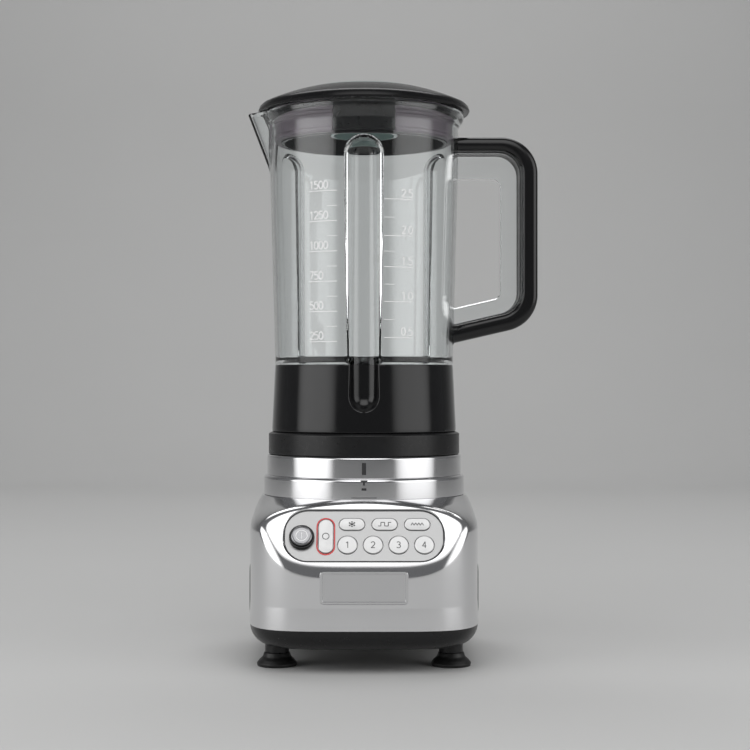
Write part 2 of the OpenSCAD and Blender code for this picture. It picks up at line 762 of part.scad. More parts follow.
// The jar's inside or outside: its radii moved in by inset and its floor raised by inset.
module jar_body(inset) {
    floor_z = jar_floor + inset;
    rim = jar_high_r + rim_flare - inset;
    top = jar_top + (inset > 0 ? over : 0);
    turned(concat([[0, floor_z]], arc([tub_r - inset - 4, floor_z + 4], 4, -90, 0, 5),
        [[tub_r - inset, seam_z + inset], [jar_low_r - inset, seam_z + inset], [jar_mid_r - inset,
            jar_mid_z],
            [jar_high_r - inset, jar_top - 19], [jar_high_r - inset, jar_top - rim_h],
                [rim, jar_top - 4], [rim, top], [0, top]]));
}

module jar() {
    color([0.85, 0.9, 0.92, 0.35]) difference() {
        union() {
            difference() {
                union() {
                    jar_body(0);
                    spout_wedge();
                }
                flutes(0, low_grow, seam_z + 0.2);
            }
            handle_web();
        }
        difference() {
            jar_body(jar_wall);
            flutes(jar_wall, low_grow, seam_z + jar_wall + 0.2);
        }
        translate([4, 0, 1.5]) spout_wedge();
        translate([0, 0, jar_floor - over]) cylinder(r = hub_hole_r, h = jar_wall + 2 * over);
    }
}

// The handle's corners in side view, as [x, z]: its back at x, its top arm at z, and its lower arm
// along a slope. in moves every side in towards the finger gap.
function handle_path(x, z_top, z_low, r, x_near) =
    let (a = [x_near, z_top], p = [x, z_top], q = [x, z_low],
        b = [x_near, z_low - (x - x_near) * tan(grip_slope)])
    concat([a], bend(a, p, q, r), bend(p, q, b, r), [b]);

function grip_outer(x_near) = handle_path(handle_reach, grip_top_z + grip_top_t / 2,
    grip_low_z - grip_low_t / 2 / cos(grip_slope), grip_bend, x_near);
function grip_inner(x_near) = handle_path(handle_reach - grip_t, grip_top_z - grip_top_t / 2,
    grip_low_z + grip_low_t / 2 / cos(grip_slope) - grip_t * tan(grip_slope), grip_bend - 10, x_near);
function gap_path(x_near) = handle_path(handle_reach - grip_t - web_back, grip_top_z - grip_top_t / 2 -
    web_top,
    grip_low_z + grip_low_t / 2 / cos(grip_slope) - (grip_t + web_back) * tan(grip_slope) + web_low, 6,
        x_near);

module in_side_view(width) {
    translate([0, width / 2, 0]) rotate([90, 0, 0]) linear_extrude(height = width) children();
}

module handle_web() {
    near = jar_low_r - 1;
    difference() {
        in_side_view(web_t) polygon(concat(grip_inner(near), reversed(gap_path(near))));
        jar_envelope(-1.2);
    }
}

module handle_grip() {
    near = jar_low_r - 2;
    color([0.05, 0.05, 0.05]) difference() {
        in_side_view(grip_w) polygon(concat(grip_outer(near), reversed(grip_inner(near))));
        jar_envelope(snug);
    }
}

module jug_skirt() {
    color([0.05, 0.05, 0.05]) difference() {
        turned([[hub_hole_r, skirt_z], [skirt_low_r, skirt_z], [skirt_low_r, skirt_z + 3],
            [jar_low_r + 0.1, seam_z],
            [hub_hole_r, seam_z]]);
        difference() {
            turned(concat([[0, jar_floor]], arc([tub_r + snug - 4, jar_floor + 4], 4, -90, 0, 5),
                [[tub_r + snug, seam_z + over], [0, seam_z + over]]));
            flutes(skirt_wall);
        }
        flutes(0);
    }
}

module jug_foot_ring() {
    r = foot_ring_r;
    color([0.05, 0.05, 0.05]) difference() {
        turned([[carrier_tube_r + 1, skirt_z - plate_t], [spigot_r - 2.6, skirt_z - plate_t],
            [spigot_r - 2.6, spigot_z],
            [spigot_r, spigot_z], [spigot_r, ring_z], [r - 0.5, ring_z], [r, ring_z + 0.5],
                [r - 0.5, skirt_z - 2],
            [r - 1.6, skirt_z], [carrier_tube_r + 1, skirt_z]]);
        for (i = [0 : 2]) rotate([0, 0, i * 120]) translate([carrier_screw_at, 0,
            skirt_z - plate_t - over])
            cylinder(r = 1.7, h = plate_t + 2 * over);
    }
}

module blade_carrier() {
    color([0.6, 0.61, 0.63]) difference() {
        turned([[blade_bearing_r, carrier_low], [carrier_tube_r, carrier_low], [carrier_tube_r,
            skirt_z], [carrier_r, skirt_z],
            [carrier_r, flange_z], [carrier_flange_r, flange_z], [carrier_flange_r, carrier_top - 1],
            [carrier_flange_r - 1, carrier_top], [blade_bearing_r, carrier_top]]);
        for (i = [0 : 2]) rotate([0, 0, i * 120]) translate([carrier_screw_at, 0, skirt_z - over])
            cylinder(r = 1.5 + slip, h = 7 + over);
    }
}

module jar_gasket() {
    color([0.35, 0.35, 0.37]) translate([0, 0, flange_z - gasket_t]) ring(carrier_flange_r - 0.5,
        hub_hole_r, gasket_t);
}

module blade_bearings() {
    color([0.75, 0.75, 0.78]) for (z = [carrier_low, carrier_top - 3 - blade_bearing_h])
        translate([0, 0, z]) ring(blade_bearing_r, shaft_r + slip, blade_bearing_h);
}

module shaft_seal() {
    color([0.15, 0.15, 0.16]) translate([0, 0, carrier_top - 3]) ring(blade_bearing_r, shaft_r + slip, 3);
}

module carrier_screws() {
    color([0.7, 0.7, 0.72]) for (i = [0 : 2]) rotate([0, 0, i * 120])
        translate([carrier_screw_at, 0, skirt_z - plate_t]) screw(1.5, plate_t + 6, 2.8, 2);
}

// ---------- blades ----------

module blade_shaft() {
    color([0.72, 0.72, 0.75]) turned([[0, shaft_foot], [shaft_r, shaft_foot],
        [shaft_r, carrier_top + 3],
        [shaft_r + 2.5, carrier_top + 3], [shaft_r + 2.5, blade_z], [shaft_r, blade_z],
            [shaft_r, blade_z + 7], [0, blade_z + 7]]);
}

// A pair of blades about the axis: each rises at a slope from its hub and tapers to its tip.
module blade_pair(slope) {
    run = blade_reach / cos(slope);
    difference() {
        union() {
            cylinder(r = hub_r, h = blade_t);
            for (turn = [0, 180]) rotate([0, 0, turn]) translate([5, 0, blade_t / 2])
                rotate([0, -slope, 0])
                translate([-1, 0, -blade_t / 2]) slab([[0, -6.5], [run - 16, -6.5], [run - 6, -1],
                    [run - 5, 3], [run - 12, 6], [0, 6.5]], blade_t);
        }
        translate([0, 0, -over]) cylinder(r = shaft_r, h = 2 * over + blade_t);
        translate([0, 0, -10]) cylinder(r = hub_r - 0.6, h = 10);
        translate([0, 0, blade_t]) cylinder(r = hub_r - 1.5, h = 10);
    }
}

module lower_blades() {
    color([0.8, 0.8, 0.82]) translate([0, 0, blade_z]) blade_pair(-8);
}

module upper_blades() {
    color([0.8, 0.8, 0.82]) translate([0, 0, blade_z + blade_t]) rotate([0, 0, 90]) blade_pair(24);
}

module blade_nut() {
    z = blade_z + 2 * blade_t;
    color([0.75, 0.75, 0.77]) difference() {
        union() {
            translate([0, 0, z]) cylinder(r = 7, h = 4.5, $fn = 6);
            translate([0, 0, z + 4.5]) turned(concat([[0, 0]], arc([0, 0], 5.6, 0, 90, 8)));
        }
        translate([0, 0, z - over]) cylinder(r = shaft_r, h = 7 - 2 * blade_t + over);
    }
}

module driven_coupling() {
    reach = coupling_r + fit + 0.1;
    color([0.15, 0.15, 0.15]) difference() {
        translate([0, 0, driven_z]) cylinder(r = driven_r, h = driven_top - driven_z);
        translate([0, 0, driven_z - over]) cylinder(r = coupling_hub_r + fit,
            h = shaft_foot - driven_z + over);
        for (i = [0 : teeth - 1]) rotate([0, 0, i * 360 / teeth])
            translate([0, -tooth_w / 2 - fit, driven_z - over])
                cube([reach, tooth_w + 2 * fit, shaft_foot - driven_z + over]);
        cylinder(r = shaft_r, h = driven_top + over);
    }
}

// ---------- lid ----------

module lid_body() {
    hole = cup_r + 0.4;
    near = cap_r + fit;
    under = dome_at(plug_r) - 3.5;
    dome = [for (i = [0 : 12]) let (r = near + (lid_r - 5 - near) * i / 12) [r, dome_at(r)]];
    edge = dome_at(lid_r - 5);
    color([0.05, 0.05, 0.05]) {
        turned(concat([[hole, shelf_top - 2.5], [hole, shelf_top], [near, shelf_top]], dome,
            [[lid_r - 2.2, edge - 1.3], [lid_r - 0.5, edge - 3.2], [lid_r, edge - 5], [lid_r - 0.8, lid_z],
                [plug_r, lid_z], [plug_r, plug_z], [plug_r - 2.5, plug_z], [plug_r - 2.5, under]]));
        intersection() {
            difference() {
                translate([0, 0, plug_z + 2]) cylinder(r = jar_high_r - jar_wall - 0.8, h = plug_h - 1);
                translate([0, 0, plug_z]) cylinder(r = plug_r - 0.1, h = plug_h + 2);
            }
            translate([-tab_w / 2, -lid_r, plug_z + 2]) cube([tab_w, lid_r, plug_h - 1]);
        }
    }
}

module lid_seal() {
    r = jar_high_r - jar_wall - fit;
    low = plug_z + 0.6;
    high = lid_z - 3;
    color([0.5, 0.46, 0.5]) difference() {
        turned([[plug_r + slip, low], [r - 1.2, low], [r, low + 1.5], [r, low + 3], [r - 1, low + 4.2],
            [r - 1, high - 6],
            [r, high - 4.8], [r, high - 3], [r - 1, high - 2], [r - 1, high], [plug_r + slip, high]]);
        translate([-tab_w / 2 - fit, -lid_r, low - over]) cube([tab_w + 2 * fit, lid_r,
            plug_h + 2 * over]);
    }
}

module filler_cap() {
    dome = [for (i = [12 : -1 : 0]) let (r = cap_r * i / 12) [r, dome_at(r)]];
    color([0.55, 0.62, 0.63, 0.8]) turned(concat([[0, dome_top - 3], [cup_r - 2.2, dome_top - 3],
        [cup_r - 2.2, cap_under - cup_depth],
        [cup_r, cap_under - cup_depth], [cup_r, cap_under], [cap_r, cap_under]], dome));
}

// ---------- buttons ----------

// A button's flange and stem, behind the panel, and its cap on top. travel is how far it goes in.
module button_at(at, travel) {
    foot = switch_top - 0.2 - travel;
    panel_frame() translate([at[0], at[1], 0]) {
        translate([0, 0, -foot]) cylinder(r = stem_r, h = foot - under_panel - flange_t + 0.2);
        children();
    }
}

module oblong_button(at, size) {
    top = under_panel - panel_recess + button_proud;
    color([0.8, 0.8, 0.8]) button_at(at, key_travel) translate([0, 0, -under_panel]) {
        translate([0, 0, -flange_t]) slab(pill_outline(size[0] + 2 * (fit + flange_w),
            size[1] + 2 * (fit + flange_w)), flange_t);
        slab(pill_outline(size[0], size[1]), top);
    }
}

module speed_button(at) {
    top = under_panel - panel_recess + button_proud;
    color([0.8, 0.8, 0.8]) button_at(at, key_travel) translate([0, 0, -under_panel]) {
        translate([0, 0, -flange_t]) cylinder(r = speed_d / 2 + fit + flange_w, h = flange_t);
        cylinder(r = speed_d / 2, h = top);
    }
}

module power_button() {
    r = knob_d / 2;
    top = under_panel - panel_recess + knob_proud;
    color([0.55, 0.55, 0.57]) button_at(knob_at, knob_travel) translate([0, 0, -under_panel])
        turned([[0, -flange_t], [r + fit + 0.5, -flange_t], [r + fit + 0.5, 0], [r, 0], [r, top - 1.2],
            [r - 0.8, top], [0, top]]);
}

module stop_button() { oblong_button(stop_at, stop_size); }

module ice_button() { oblong_button(pill_at[0], [pill_w, pill_h]); }

module pulse_button() { oblong_button(pill_at[1], [pill_w, pill_h]); }

module hold_button() { oblong_button(pill_at[2], [pill_w, pill_h]); }

module speed_button_1() { speed_button(speed_at[0]); }

module speed_button_2() { speed_button(speed_at[1]); }

module speed_button_3() { speed_button(speed_at[2]); }

module speed_button_4() { speed_button(speed_at[3]); }

housing();
collar_lower_ring();
collar_upper_ring();
jug_seat();
seat_seal();
control_panel();
panel_seal();
power_bezel();
indicator_ring();
control_board();
button_switches();
base_pan();
base_screws();
foot_posts();
suction_feet();
rear_cover();
side_vents();
cord_gland();
badge_plate();
motor_top_bracket();
motor_bottom_bracket();
motor_stator();
field_windings();
motor_bearings();
brush_holders();
carbon_brushes();
motor_screws();
motor_mounts();
rotor_shaft();
rotor_core();
commutator();
cooling_fan();
drive_coupling();
jar();
handle_grip();
jug_skirt();
jug_foot_ring();
blade_carrier();
jar_gasket();
blade_bearings();
shaft_seal();
carrier_screws();
blade_shaft();
upper_blades();
lower_blades();
blade_nut();
driven_coupling();
lid_body();
lid_seal();
filler_cap();
power_button();
stop_button();
ice_button();
pulse_button();
hold_button();
speed_button_1();
speed_button_2();
speed_button_3();
speed_button_4();
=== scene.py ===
# %% [markdown]
# # A countertop blender
# The finished blender is built around a frame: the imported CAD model, which fixes every size and
# place. Small machined pieces stay as the CAD made them and only get a finish. The large skins that
# light slides over, such as the chromed housing and the clear jug, are worked out again here as
# smooth numpy surfaces with the same formulas, because reflections show every flat facet.

import json
import math

import bpy
import numpy as np
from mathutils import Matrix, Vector


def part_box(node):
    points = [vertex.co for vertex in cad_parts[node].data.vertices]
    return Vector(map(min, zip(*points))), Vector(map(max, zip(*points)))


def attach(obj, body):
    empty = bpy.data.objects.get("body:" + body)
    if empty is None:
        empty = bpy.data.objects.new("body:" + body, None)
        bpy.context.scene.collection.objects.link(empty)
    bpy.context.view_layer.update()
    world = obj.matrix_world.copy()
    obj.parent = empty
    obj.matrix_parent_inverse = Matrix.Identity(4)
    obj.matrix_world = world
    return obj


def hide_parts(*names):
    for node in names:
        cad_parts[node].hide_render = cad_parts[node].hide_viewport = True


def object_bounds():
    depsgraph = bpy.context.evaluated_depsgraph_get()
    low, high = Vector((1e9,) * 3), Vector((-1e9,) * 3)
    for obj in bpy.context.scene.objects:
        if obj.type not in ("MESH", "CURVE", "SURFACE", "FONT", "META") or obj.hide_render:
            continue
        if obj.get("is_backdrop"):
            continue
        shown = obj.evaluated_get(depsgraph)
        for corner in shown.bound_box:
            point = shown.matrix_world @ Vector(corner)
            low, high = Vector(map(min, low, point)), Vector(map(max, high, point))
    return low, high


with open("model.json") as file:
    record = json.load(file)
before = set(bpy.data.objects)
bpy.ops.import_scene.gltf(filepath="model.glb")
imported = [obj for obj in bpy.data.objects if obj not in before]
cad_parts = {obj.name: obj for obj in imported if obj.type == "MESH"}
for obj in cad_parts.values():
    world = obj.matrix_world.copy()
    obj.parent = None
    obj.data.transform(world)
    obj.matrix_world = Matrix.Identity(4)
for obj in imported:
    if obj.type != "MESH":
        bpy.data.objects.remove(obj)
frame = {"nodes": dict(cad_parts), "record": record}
cad_low, cad_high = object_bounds()
nodes = frame["nodes"]

# %% [markdown]
# ## Sizes
# All sizes are in millimetres, as the maker of the parts wrote them, and become metres only when a
# mesh is made. Heights that other pieces depend on are read from the frame's own boxes, so the skins
# can't drift away from it.

# %% Sizes
MM = 0.001
low = lambda node, axis=2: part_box(node)[0][axis] / MM
high = lambda node, axis=2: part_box(node)[1][axis] / MM

pan_z, pan_top = low("base_pan"), high("base_pan")
housing_top = high("housing")
collar_top = high("collar_upper_ring")
ring_z, skirt_z, seam_z = collar_top + 0.3, low("jug_skirt"), high("jug_skirt")
jar_top = high("jar")
lid_z, dome_top = jar_top + 0.3, high("filler_cap")
base_w, base_d, plan_power = 165.0, 205.0, 4.6
shoulder_z, flare_z = housing_top - 22.0, pan_top + 16.0
tilt = math.radians(30)
panel_z = shoulder_z - 1.5
panel_y = base_d / 2 - (panel_z - pan_top - 43.5) * math.tan(tilt)
lower_ring_r, upper_ring_r, seat_r = 74.7, 72.4, 64.75
jar_low_r, jar_high_r, jar_wall = 66.4, 70.5, 3.0
flute_r, flute_at = 11.5, (66.4 + 70.5) / 2 + 2
housing_wall, throat_r, hub_hole_r, ring_bore_r = 2.5, 60.75, 25.8, 64.9
pan_round, ring_h, skirt_wall, collar_foot_r = 13.5, 15, 2.6, 75.9
print("housing", pan_top, "to", housing_top, "jug", round(ring_z, 1), "to", round(jar_top, 1))

# %% [markdown]
# ## Turning numbers into meshes
# Most pieces here are a stack of closed rings of points: a lathe turns one profile into such a
# stack, and a moulded cover is a stack whose outline changes with height. One function joins any
# stack into faces, so each piece only has to say where its rings lie.

# %% Rings to a mesh
def join_rings(rings, around=True, over=False, caps=True):
    """Faces between neighbours on a grid of points rings[k, i]: four corners to each face. around joins
    the last point of a ring to its first, over joins the last ring to the first, and caps closes the ends."""
    m, n = rings.shape[:2]
    k = np.arange(m if over else m - 1)[:, None]
    i = np.arange(n if around else n - 1)[None, :]
    k2, i2 = (k + 1) % m, (i + 1) % n
    quads = np.stack([k * n + i, k * n + i2, k2 * n + i2, k2 * n + i], -1).reshape(-1, 4)
    ends = [] if over or not caps else [np.arange(n)[::-1], (m - 1) * n + np.arange(n)]
    return rings.reshape(-1, 3), quads, ends


def make_mesh(name, parts, sharp=40):
    """One mesh from several (points, quads, end caps), in millimetres. Edges sharper than the angle stay
    crisp."""
    starts = np.cumsum([0] + [len(p[0]) for p in parts])
    points = np.concatenate([p[0] for p in parts]) * MM
    quads = np.concatenate([p[1] + s for p, s in zip(parts, starts)])
    ends = [e + s for p, s in zip(parts, starts) for e in p[2]]
    corners = np.concatenate([quads.ravel()] + ends).astype(np.int32)
    sizes = np.concatenate([np.full(len(quads), 4), [len(e) for e in ends]]).astype(np.int32)
    mesh = bpy.data.meshes.new(name)
    mesh.vertices.add(len(points))
    mesh.vertices.foreach_set("co", points.astype(np.float32).ravel())
    mesh.loops.add(len(corners))
    mesh.loops.foreach_set("vertex_index", corners)
    mesh.polygons.add(len(sizes))
    mesh.polygons.foreach_set("loop_start", np.concatenate([[0], np.cumsum(sizes)[:-1]]).astype(np.int32))
    mesh.polygons.foreach_set("loop_total", sizes)
    mesh.update(calc_edges=True)
    mesh.validate()
    mesh.shade_smooth()
    mesh.set_sharp_from_angle(angle=math.radians(sharp))
    return mesh


def place(name, parts, body, slot, replaces=(), sharp=40):
    """A finished piece: its mesh, the body it rides on, its finish and the frame nodes that it stands for."""
    piece = bpy.data.objects.new(name, make_mesh(name, parts, sharp))
    bpy.context.scene.collection.objects.link(piece)
    piece.data.materials.append(finish(slot))
    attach(piece, body)
    if replaces:
        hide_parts(*replaces)
    print(f"{name}: {len(piece.data.polygons)} faces")
    return piece


# %% Profiles and outlines
def rounded(points, radii, steps=6, closed=True):
    """Every corner of an outline turned on an arc of its own radius, with one more point just before and
    after it, so that the shine of the flats doesn't bend. All corners are worked out at once."""
    p = np.asarray(points, float)
    r = np.broadcast_to(np.asarray(radii, float), len(p))[:, None]
    u, v = np.roll(p, 1, 0) - p, np.roll(p, -1, 0) - p
    u, v = (a / np.maximum(np.linalg.norm(a, axis=1, keepdims=True), 1e-9) for a in (u, v))
    half = np.arccos(np.clip((u * v).sum(1, keepdims=True), -1, 1)) / 2
    run = r / np.tan(np.maximum(half, 1e-3))
    middle = p + (u + v) / np.maximum(np.linalg.norm(u + v, axis=1, keepdims=True), 1e-9) * r / np.sin(half)
    start, end = p + u * run - middle, p + v * run - middle
    turn = np.maximum(math.pi - 2 * half, 1e-6)[:, None]
    t = np.linspace(0, 1, steps + 1)[None, :, None]
    arc = (np.sin((1 - t) * turn) * start[:, None] + np.sin(t * turn) * end[:, None]) / np.sin(turn)
    hold = 0.25 * np.minimum(run, 1.0)
    before, after = p + u * (run + hold), p + v * (run + hold)
    path = np.concatenate([before[:, None], middle[:, None] + arc, after[:, None]], 1)
    sharp = r[:, 0] <= 0
    path[sharp] = p[sharp][:, None]
    path = path.reshape(-1, 2)
    keep = np.linalg.norm(path - np.roll(path, 1, 0), axis=1) > 1e-4
    if not closed:
        keep[0] = True
    return path[keep]


def lathe(profile, sides=192):
    """A closed profile of (radius, height) carried round the axis: x = r cos a, y = r sin a. Corners that
    run clockwise in the (radius, height) plane would face inwards, so such a profile is reversed."""
    p = np.asarray(profile, float)
    area = np.sum(p[:, 0] * np.roll(p[:, 1], -1) - np.roll(p[:, 0], -1) * p[:, 1])
    p = p if area > 0 else p[::-1]
    a = np.arange(sides) * 2 * np.pi / sides
    return np.stack([p[:, :1] * np.cos(a), p[:, :1] * np.sin(a), np.repeat(p[:, 1:], sides, 1)], -1)


def turned(points, radii=0.4, sides=192, steps=5):
    """A lathe-turned piece from the corners of its profile, each corner slightly rounded."""
    return join_rings(lathe(rounded(points, radii, steps), sides), over=True)


def soft_min(a, b, k):
    """The smaller of a and b, with the crease between them filled on a blend of width k."""
    h = np.clip(0.5 + 0.5 * (b - a) / k, 0, 1)
    return b + (a - b) * h - k * h * (1 - h)


def stadium(w, h, r, n=12):
    """The outline of a bar w by h with corner radius r: four quarter arcs of n + 1 points each."""
    a = np.linspace(0, np.pi / 2, n + 1)
    sx, sy = np.array([1, -1, -1, 1]), np.array([1, 1, -1, -1])
    q = a[None] + np.arange(4)[:, None] * np.pi / 2
    x = sx[:, None] * (w / 2 - r) + r * np.cos(q)
    y = sy[:, None] * (h / 2 - r) + r * np.sin(q)
    return np.stack([x, y], -1).reshape(-1, 2)


def pad(w, h, r, steps, n=12):
    """A bar-shaped block: for each (inset, height) in steps, its outline moved in by inset, at the height."""
    ring = lambda d: stadium(w - 2 * d, h - 2 * d, max(r - d, 0.05), n)
    return np.stack([np.column_stack([ring(d), np.full(4 * n + 4, z)]) for d, z in steps])


def on_panel(points, at=(0, 0)):
    """Points (right, up the slope, out of the panel) set on the panel, which leans back by its tilt."""
    u, v, w = points[..., 0] + at[0], points[..., 1] + at[1], points[..., 2]
    c, s = math.sin(tilt), math.cos(tilt)
    return np.stack([u, -panel_y + v * c - w * s, panel_z + v * s + w * c], -1)


# %% [markdown]
# ## Finishes
# Each finish is a Principled shader with its plain values set on its own sockets. What makes it look
# like a real surface is small and uneven: noise that changes the roughness a little from place to
# place, and a bump that is fine for moulded plastic, long and thin for brushed metal, and almost
# nothing for chrome. The patterns read Object coordinates, so they stay on the piece as it moves.

# %% Finishes
def finish_of(name, colour, metallic=0.0, rough=(0.3, 0.4), scale=200.0, stretch=(1, 1, 1), bump=0.0,
              tint=0.0, bump_scale=None, **sockets):
    """A finish: noise of that scale moves the roughness between its two values and the colour by tint, and
    a second noise makes the bump, its height in thousandths of a millimetre."""
    made = bpy.data.materials.new(name)
    made.use_nodes = True
    tree, link = made.node_tree, made.node_tree.links.new
    shader = tree.nodes["Principled BSDF"]
    shader.inputs["Base Color"].default_value = (*colour[:3], 1)
    shader.inputs["Metallic"].default_value = metallic
    for socket, value in sockets.items():
        shader.inputs[socket.replace("_", " ")].default_value = value
    place_at = tree.nodes.new("ShaderNodeTexCoord")
    mapping = tree.nodes.new("ShaderNodeMapping")
    mapping.inputs["Scale"].default_value = stretch
    link(place_at.outputs["Object"], mapping.inputs["Vector"])
    noise = tree.nodes.new("ShaderNodeTexNoise")
    noise.inputs["Scale"].default_value = scale
    noise.inputs["Detail"].default_value = 4
    link(mapping.outputs["Vector"], noise.inputs["Vector"])
    spread = tree.nodes.new("ShaderNodeMapRange")
    spread.inputs["From Min"].default_value, spread.inputs["From Max"].default_value = 0.3, 0.7
    spread.inputs["To Min"].default_value, spread.inputs["To Max"].default_value = rough
    link(noise.outputs["Fac"], spread.inputs["Value"])
    link(spread.outputs["Result"], shader.inputs["Roughness"])
    if tint:
        ramp = tree.nodes.new("ShaderNodeValToRGB")
        ramp.color_ramp.elements[0].position, ramp.color_ramp.elements[1].position = 0.3, 0.7
        ramp.color_ramp.elements[0].color = (*[c * (1 - tint) for c in colour[:3]], 1)
        ramp.color_ramp.elements[1].color = (*[min(1, c * (1 + tint)) for c in colour[:3]], 1)
        link(noise.outputs["Fac"], ramp.inputs["Fac"])
        link(ramp.outputs["Color"], shader.inputs["Base Color"])
    if bump:
        grain = tree.nodes.new("ShaderNodeTexNoise")
        grain.inputs["Scale"].default_value = bump_scale or scale * 4
        grain.inputs["Detail"].default_value = 3
        link(mapping.outputs["Vector"], grain.inputs["Vector"])
        raised = tree.nodes.new("ShaderNodeBump")
        raised.inputs["Distance"].default_value = bump * 1e-6
        link(grain.outputs["Fac"], raised.inputs["Height"])
        link(raised.outputs["Normal"], shader.inputs["Normal"])
    return made


FINISHES = {
    "chrome": dict(colour=(0.74, 0.74, 0.75), metallic=1, rough=(0.1, 0.14), scale=30, tint=0.015),
    "panel_silver": dict(colour=(0.44, 0.44, 0.44), metallic=0.8, rough=(0.36, 0.44), scale=900,
                         tint=0.02, bump=1),
    "button_silver": dict(colour=(0.5, 0.5, 0.5), metallic=0.85, rough=(0.3, 0.38), scale=300,
                          tint=0.02),
    "knob_metal": dict(colour=(0.3, 0.3, 0.31), metallic=1, rough=(0.26, 0.34), scale=500,
                       stretch=(1, 12, 1), tint=0.05),
    "gloss_black": dict(colour=(0.006, 0.006, 0.0065), rough=(0.1, 0.17), scale=60, bump=3,
                        Specular_IOR_Level=0.42),
    "satin_black": dict(colour=(0.008, 0.008, 0.0085), rough=(0.26, 0.36), scale=350, bump=12,
                        Specular_IOR_Level=0.35),
    "matte_black": dict(colour=(0.012, 0.012, 0.0125), rough=(0.45, 0.6), scale=500, bump=22),
    "dark_seal": dict(colour=(0.025, 0.025, 0.027), rough=(0.5, 0.65), scale=300, bump=8),
    "grey_seal": dict(colour=(0.33, 0.33, 0.35), rough=(0.45, 0.6), scale=300, bump=8),
    "lid_seal_grey": dict(colour=(0.19, 0.155, 0.185), rough=(0.28, 0.4), scale=150, tint=0.05,
                          bump=5, Specular_IOR_Level=0.4),
    "black_rubber": dict(colour=(0.008, 0.008, 0.008), rough=(0.4, 0.58), scale=400, bump=18, tint=0.2),
    "red_ring": dict(colour=(0.62, 0.012, 0.016), rough=(0.2, 0.3), scale=300, Coat_Weight=0.4),
    "clear_jar": dict(colour=(0.97, 0.99, 0.99), rough=(0.0, 0.015), scale=25,
                      Transmission_Weight=1.0, IOR=1.46, bump=1, bump_scale=20),
    "cap_tint": dict(colour=(0.30, 0.41, 0.39), rough=(0.12, 0.2), scale=80, tint=0.05,
                     Coat_Weight=0.4, Specular_IOR_Level=0.5),
    "bright_steel": dict(colour=(0.62, 0.62, 0.64), metallic=1, rough=(0.18, 0.3), scale=500,
                         stretch=(1, 1, 8), tint=0.05),
    "blade_steel": dict(colour=(0.68, 0.68, 0.7), metallic=1, rough=(0.14, 0.28), scale=300,
                        stretch=(8, 1, 1), tint=0.05, bump=6),
    "cast_alloy": dict(colour=(0.5, 0.5, 0.52), metallic=1, rough=(0.4, 0.6), scale=250, tint=0.08,
                       bump=30),
    "laminations": dict(colour=(0.24, 0.24, 0.26), metallic=1, rough=(0.35, 0.55), scale=300,
                        stretch=(1, 1, 14), tint=0.3, bump=40),
    "copper_winding": dict(colour=(0.5, 0.17, 0.06), metallic=0.9, rough=(0.25, 0.4), scale=260,
                           stretch=(12, 12, 1), tint=0.25, bump=60),
    "copper_bar": dict(colour=(0.62, 0.27, 0.13), metallic=1, rough=(0.2, 0.35), scale=300, tint=0.1),
    "moulded_brown": dict(colour=(0.1, 0.045, 0.02), rough=(0.4, 0.55), scale=250, tint=0.15, bump=20),
    "carbon": dict(colour=(0.03, 0.03, 0.03), rough=(0.5, 0.7), scale=500, tint=0.2, bump=20),
    "board_green": dict(colour=(0.01, 0.09, 0.035), rough=(0.25, 0.4), scale=120, tint=0.2, bump=10),
    "badge_metal": dict(colour=(0.66, 0.66, 0.67), metallic=1, rough=(0.12, 0.17), scale=300, tint=0.02),
    "lid_black": dict(colour=(0.006, 0.006, 0.0065), rough=(0.2, 0.28), scale=300, bump=5,
                      Specular_IOR_Level=0.22),
    "mark_white": dict(colour=(0.9, 0.9, 0.9), rough=(0.4, 0.5), scale=400),
    "mark_grey": dict(colour=(0.03, 0.03, 0.032), rough=(0.4, 0.5), scale=400),
}
made_finishes = {}


def finish(slot):
    """The finish of that name, made the first time it is asked for."""
    if slot not in made_finishes:
        made_finishes[slot] = finish_of(slot, **FINISHES[slot])
    return made_finishes[slot]


for part in frame["record"]["subparts"]:
    piece = nodes[part["node"]]
    piece.data.materials.clear()
    piece.data.materials.append(finish(part["material_slot"]))
print(len(made_finishes), "finishes on", len(nodes), "frame nodes")

# %% [markdown]
# ## Housing
# The housing is one metal casting with a mirror finish. Its plan is a superellipse, which is a
# rectangle whose corners swell smoothly, and over the shoulder it closes to the collar's circle. The
# slanted front is a plane that cuts it. A real casting has no sharp edge there, so the plane and the
# body are joined by a smooth minimum, which leaves a rounded edge for the light to run along.

# %% Housing surface
def plan(a, b, angle):
    """The radius of a superellipse of half sizes a and b: (|cos|/a)^p + (|sin|/b)^p, to the power -1/p."""
    across, along = np.abs(np.cos(angle)) / a, np.abs(np.sin(angle)) / b
    return (across**plan_power + along**plan_power) ** (-1 / plan_power)


def housing_radius(angle, z, inset=0.0):
    """Outside radius of the housing: the plan below, closing to a circle of 75.9 over the shoulder by the
    power 2.2 of the height, with a straight 0.6 mm flare from the crease down, cut by the slanted plane."""
    rise = np.clip((z - shoulder_z) / (housing_top - shoulder_z), 0, 1) ** 2.2
    spread = 0.6 * np.clip((flare_z - z) / 16, 0, 1) - inset
    body = plan(base_w / 2 + spread, base_d / 2 + spread, angle) * (1 - rise) + (collar_foot_r - inset) * rise
    front = np.maximum(-np.sin(angle), 1e-3)
    flat = (panel_y - inset * 1.6 - (z - panel_z) * math.tan(tilt)) / front
    return soft_min(body, np.minimum(flat, 400), 5.0)


def ring_of(radius, angle, z):
    """A ring of points at those radii, all at height z."""
    return np.stack([radius * np.cos(angle), radius * np.sin(angle), np.broadcast_to(z, radius.shape)], -1)


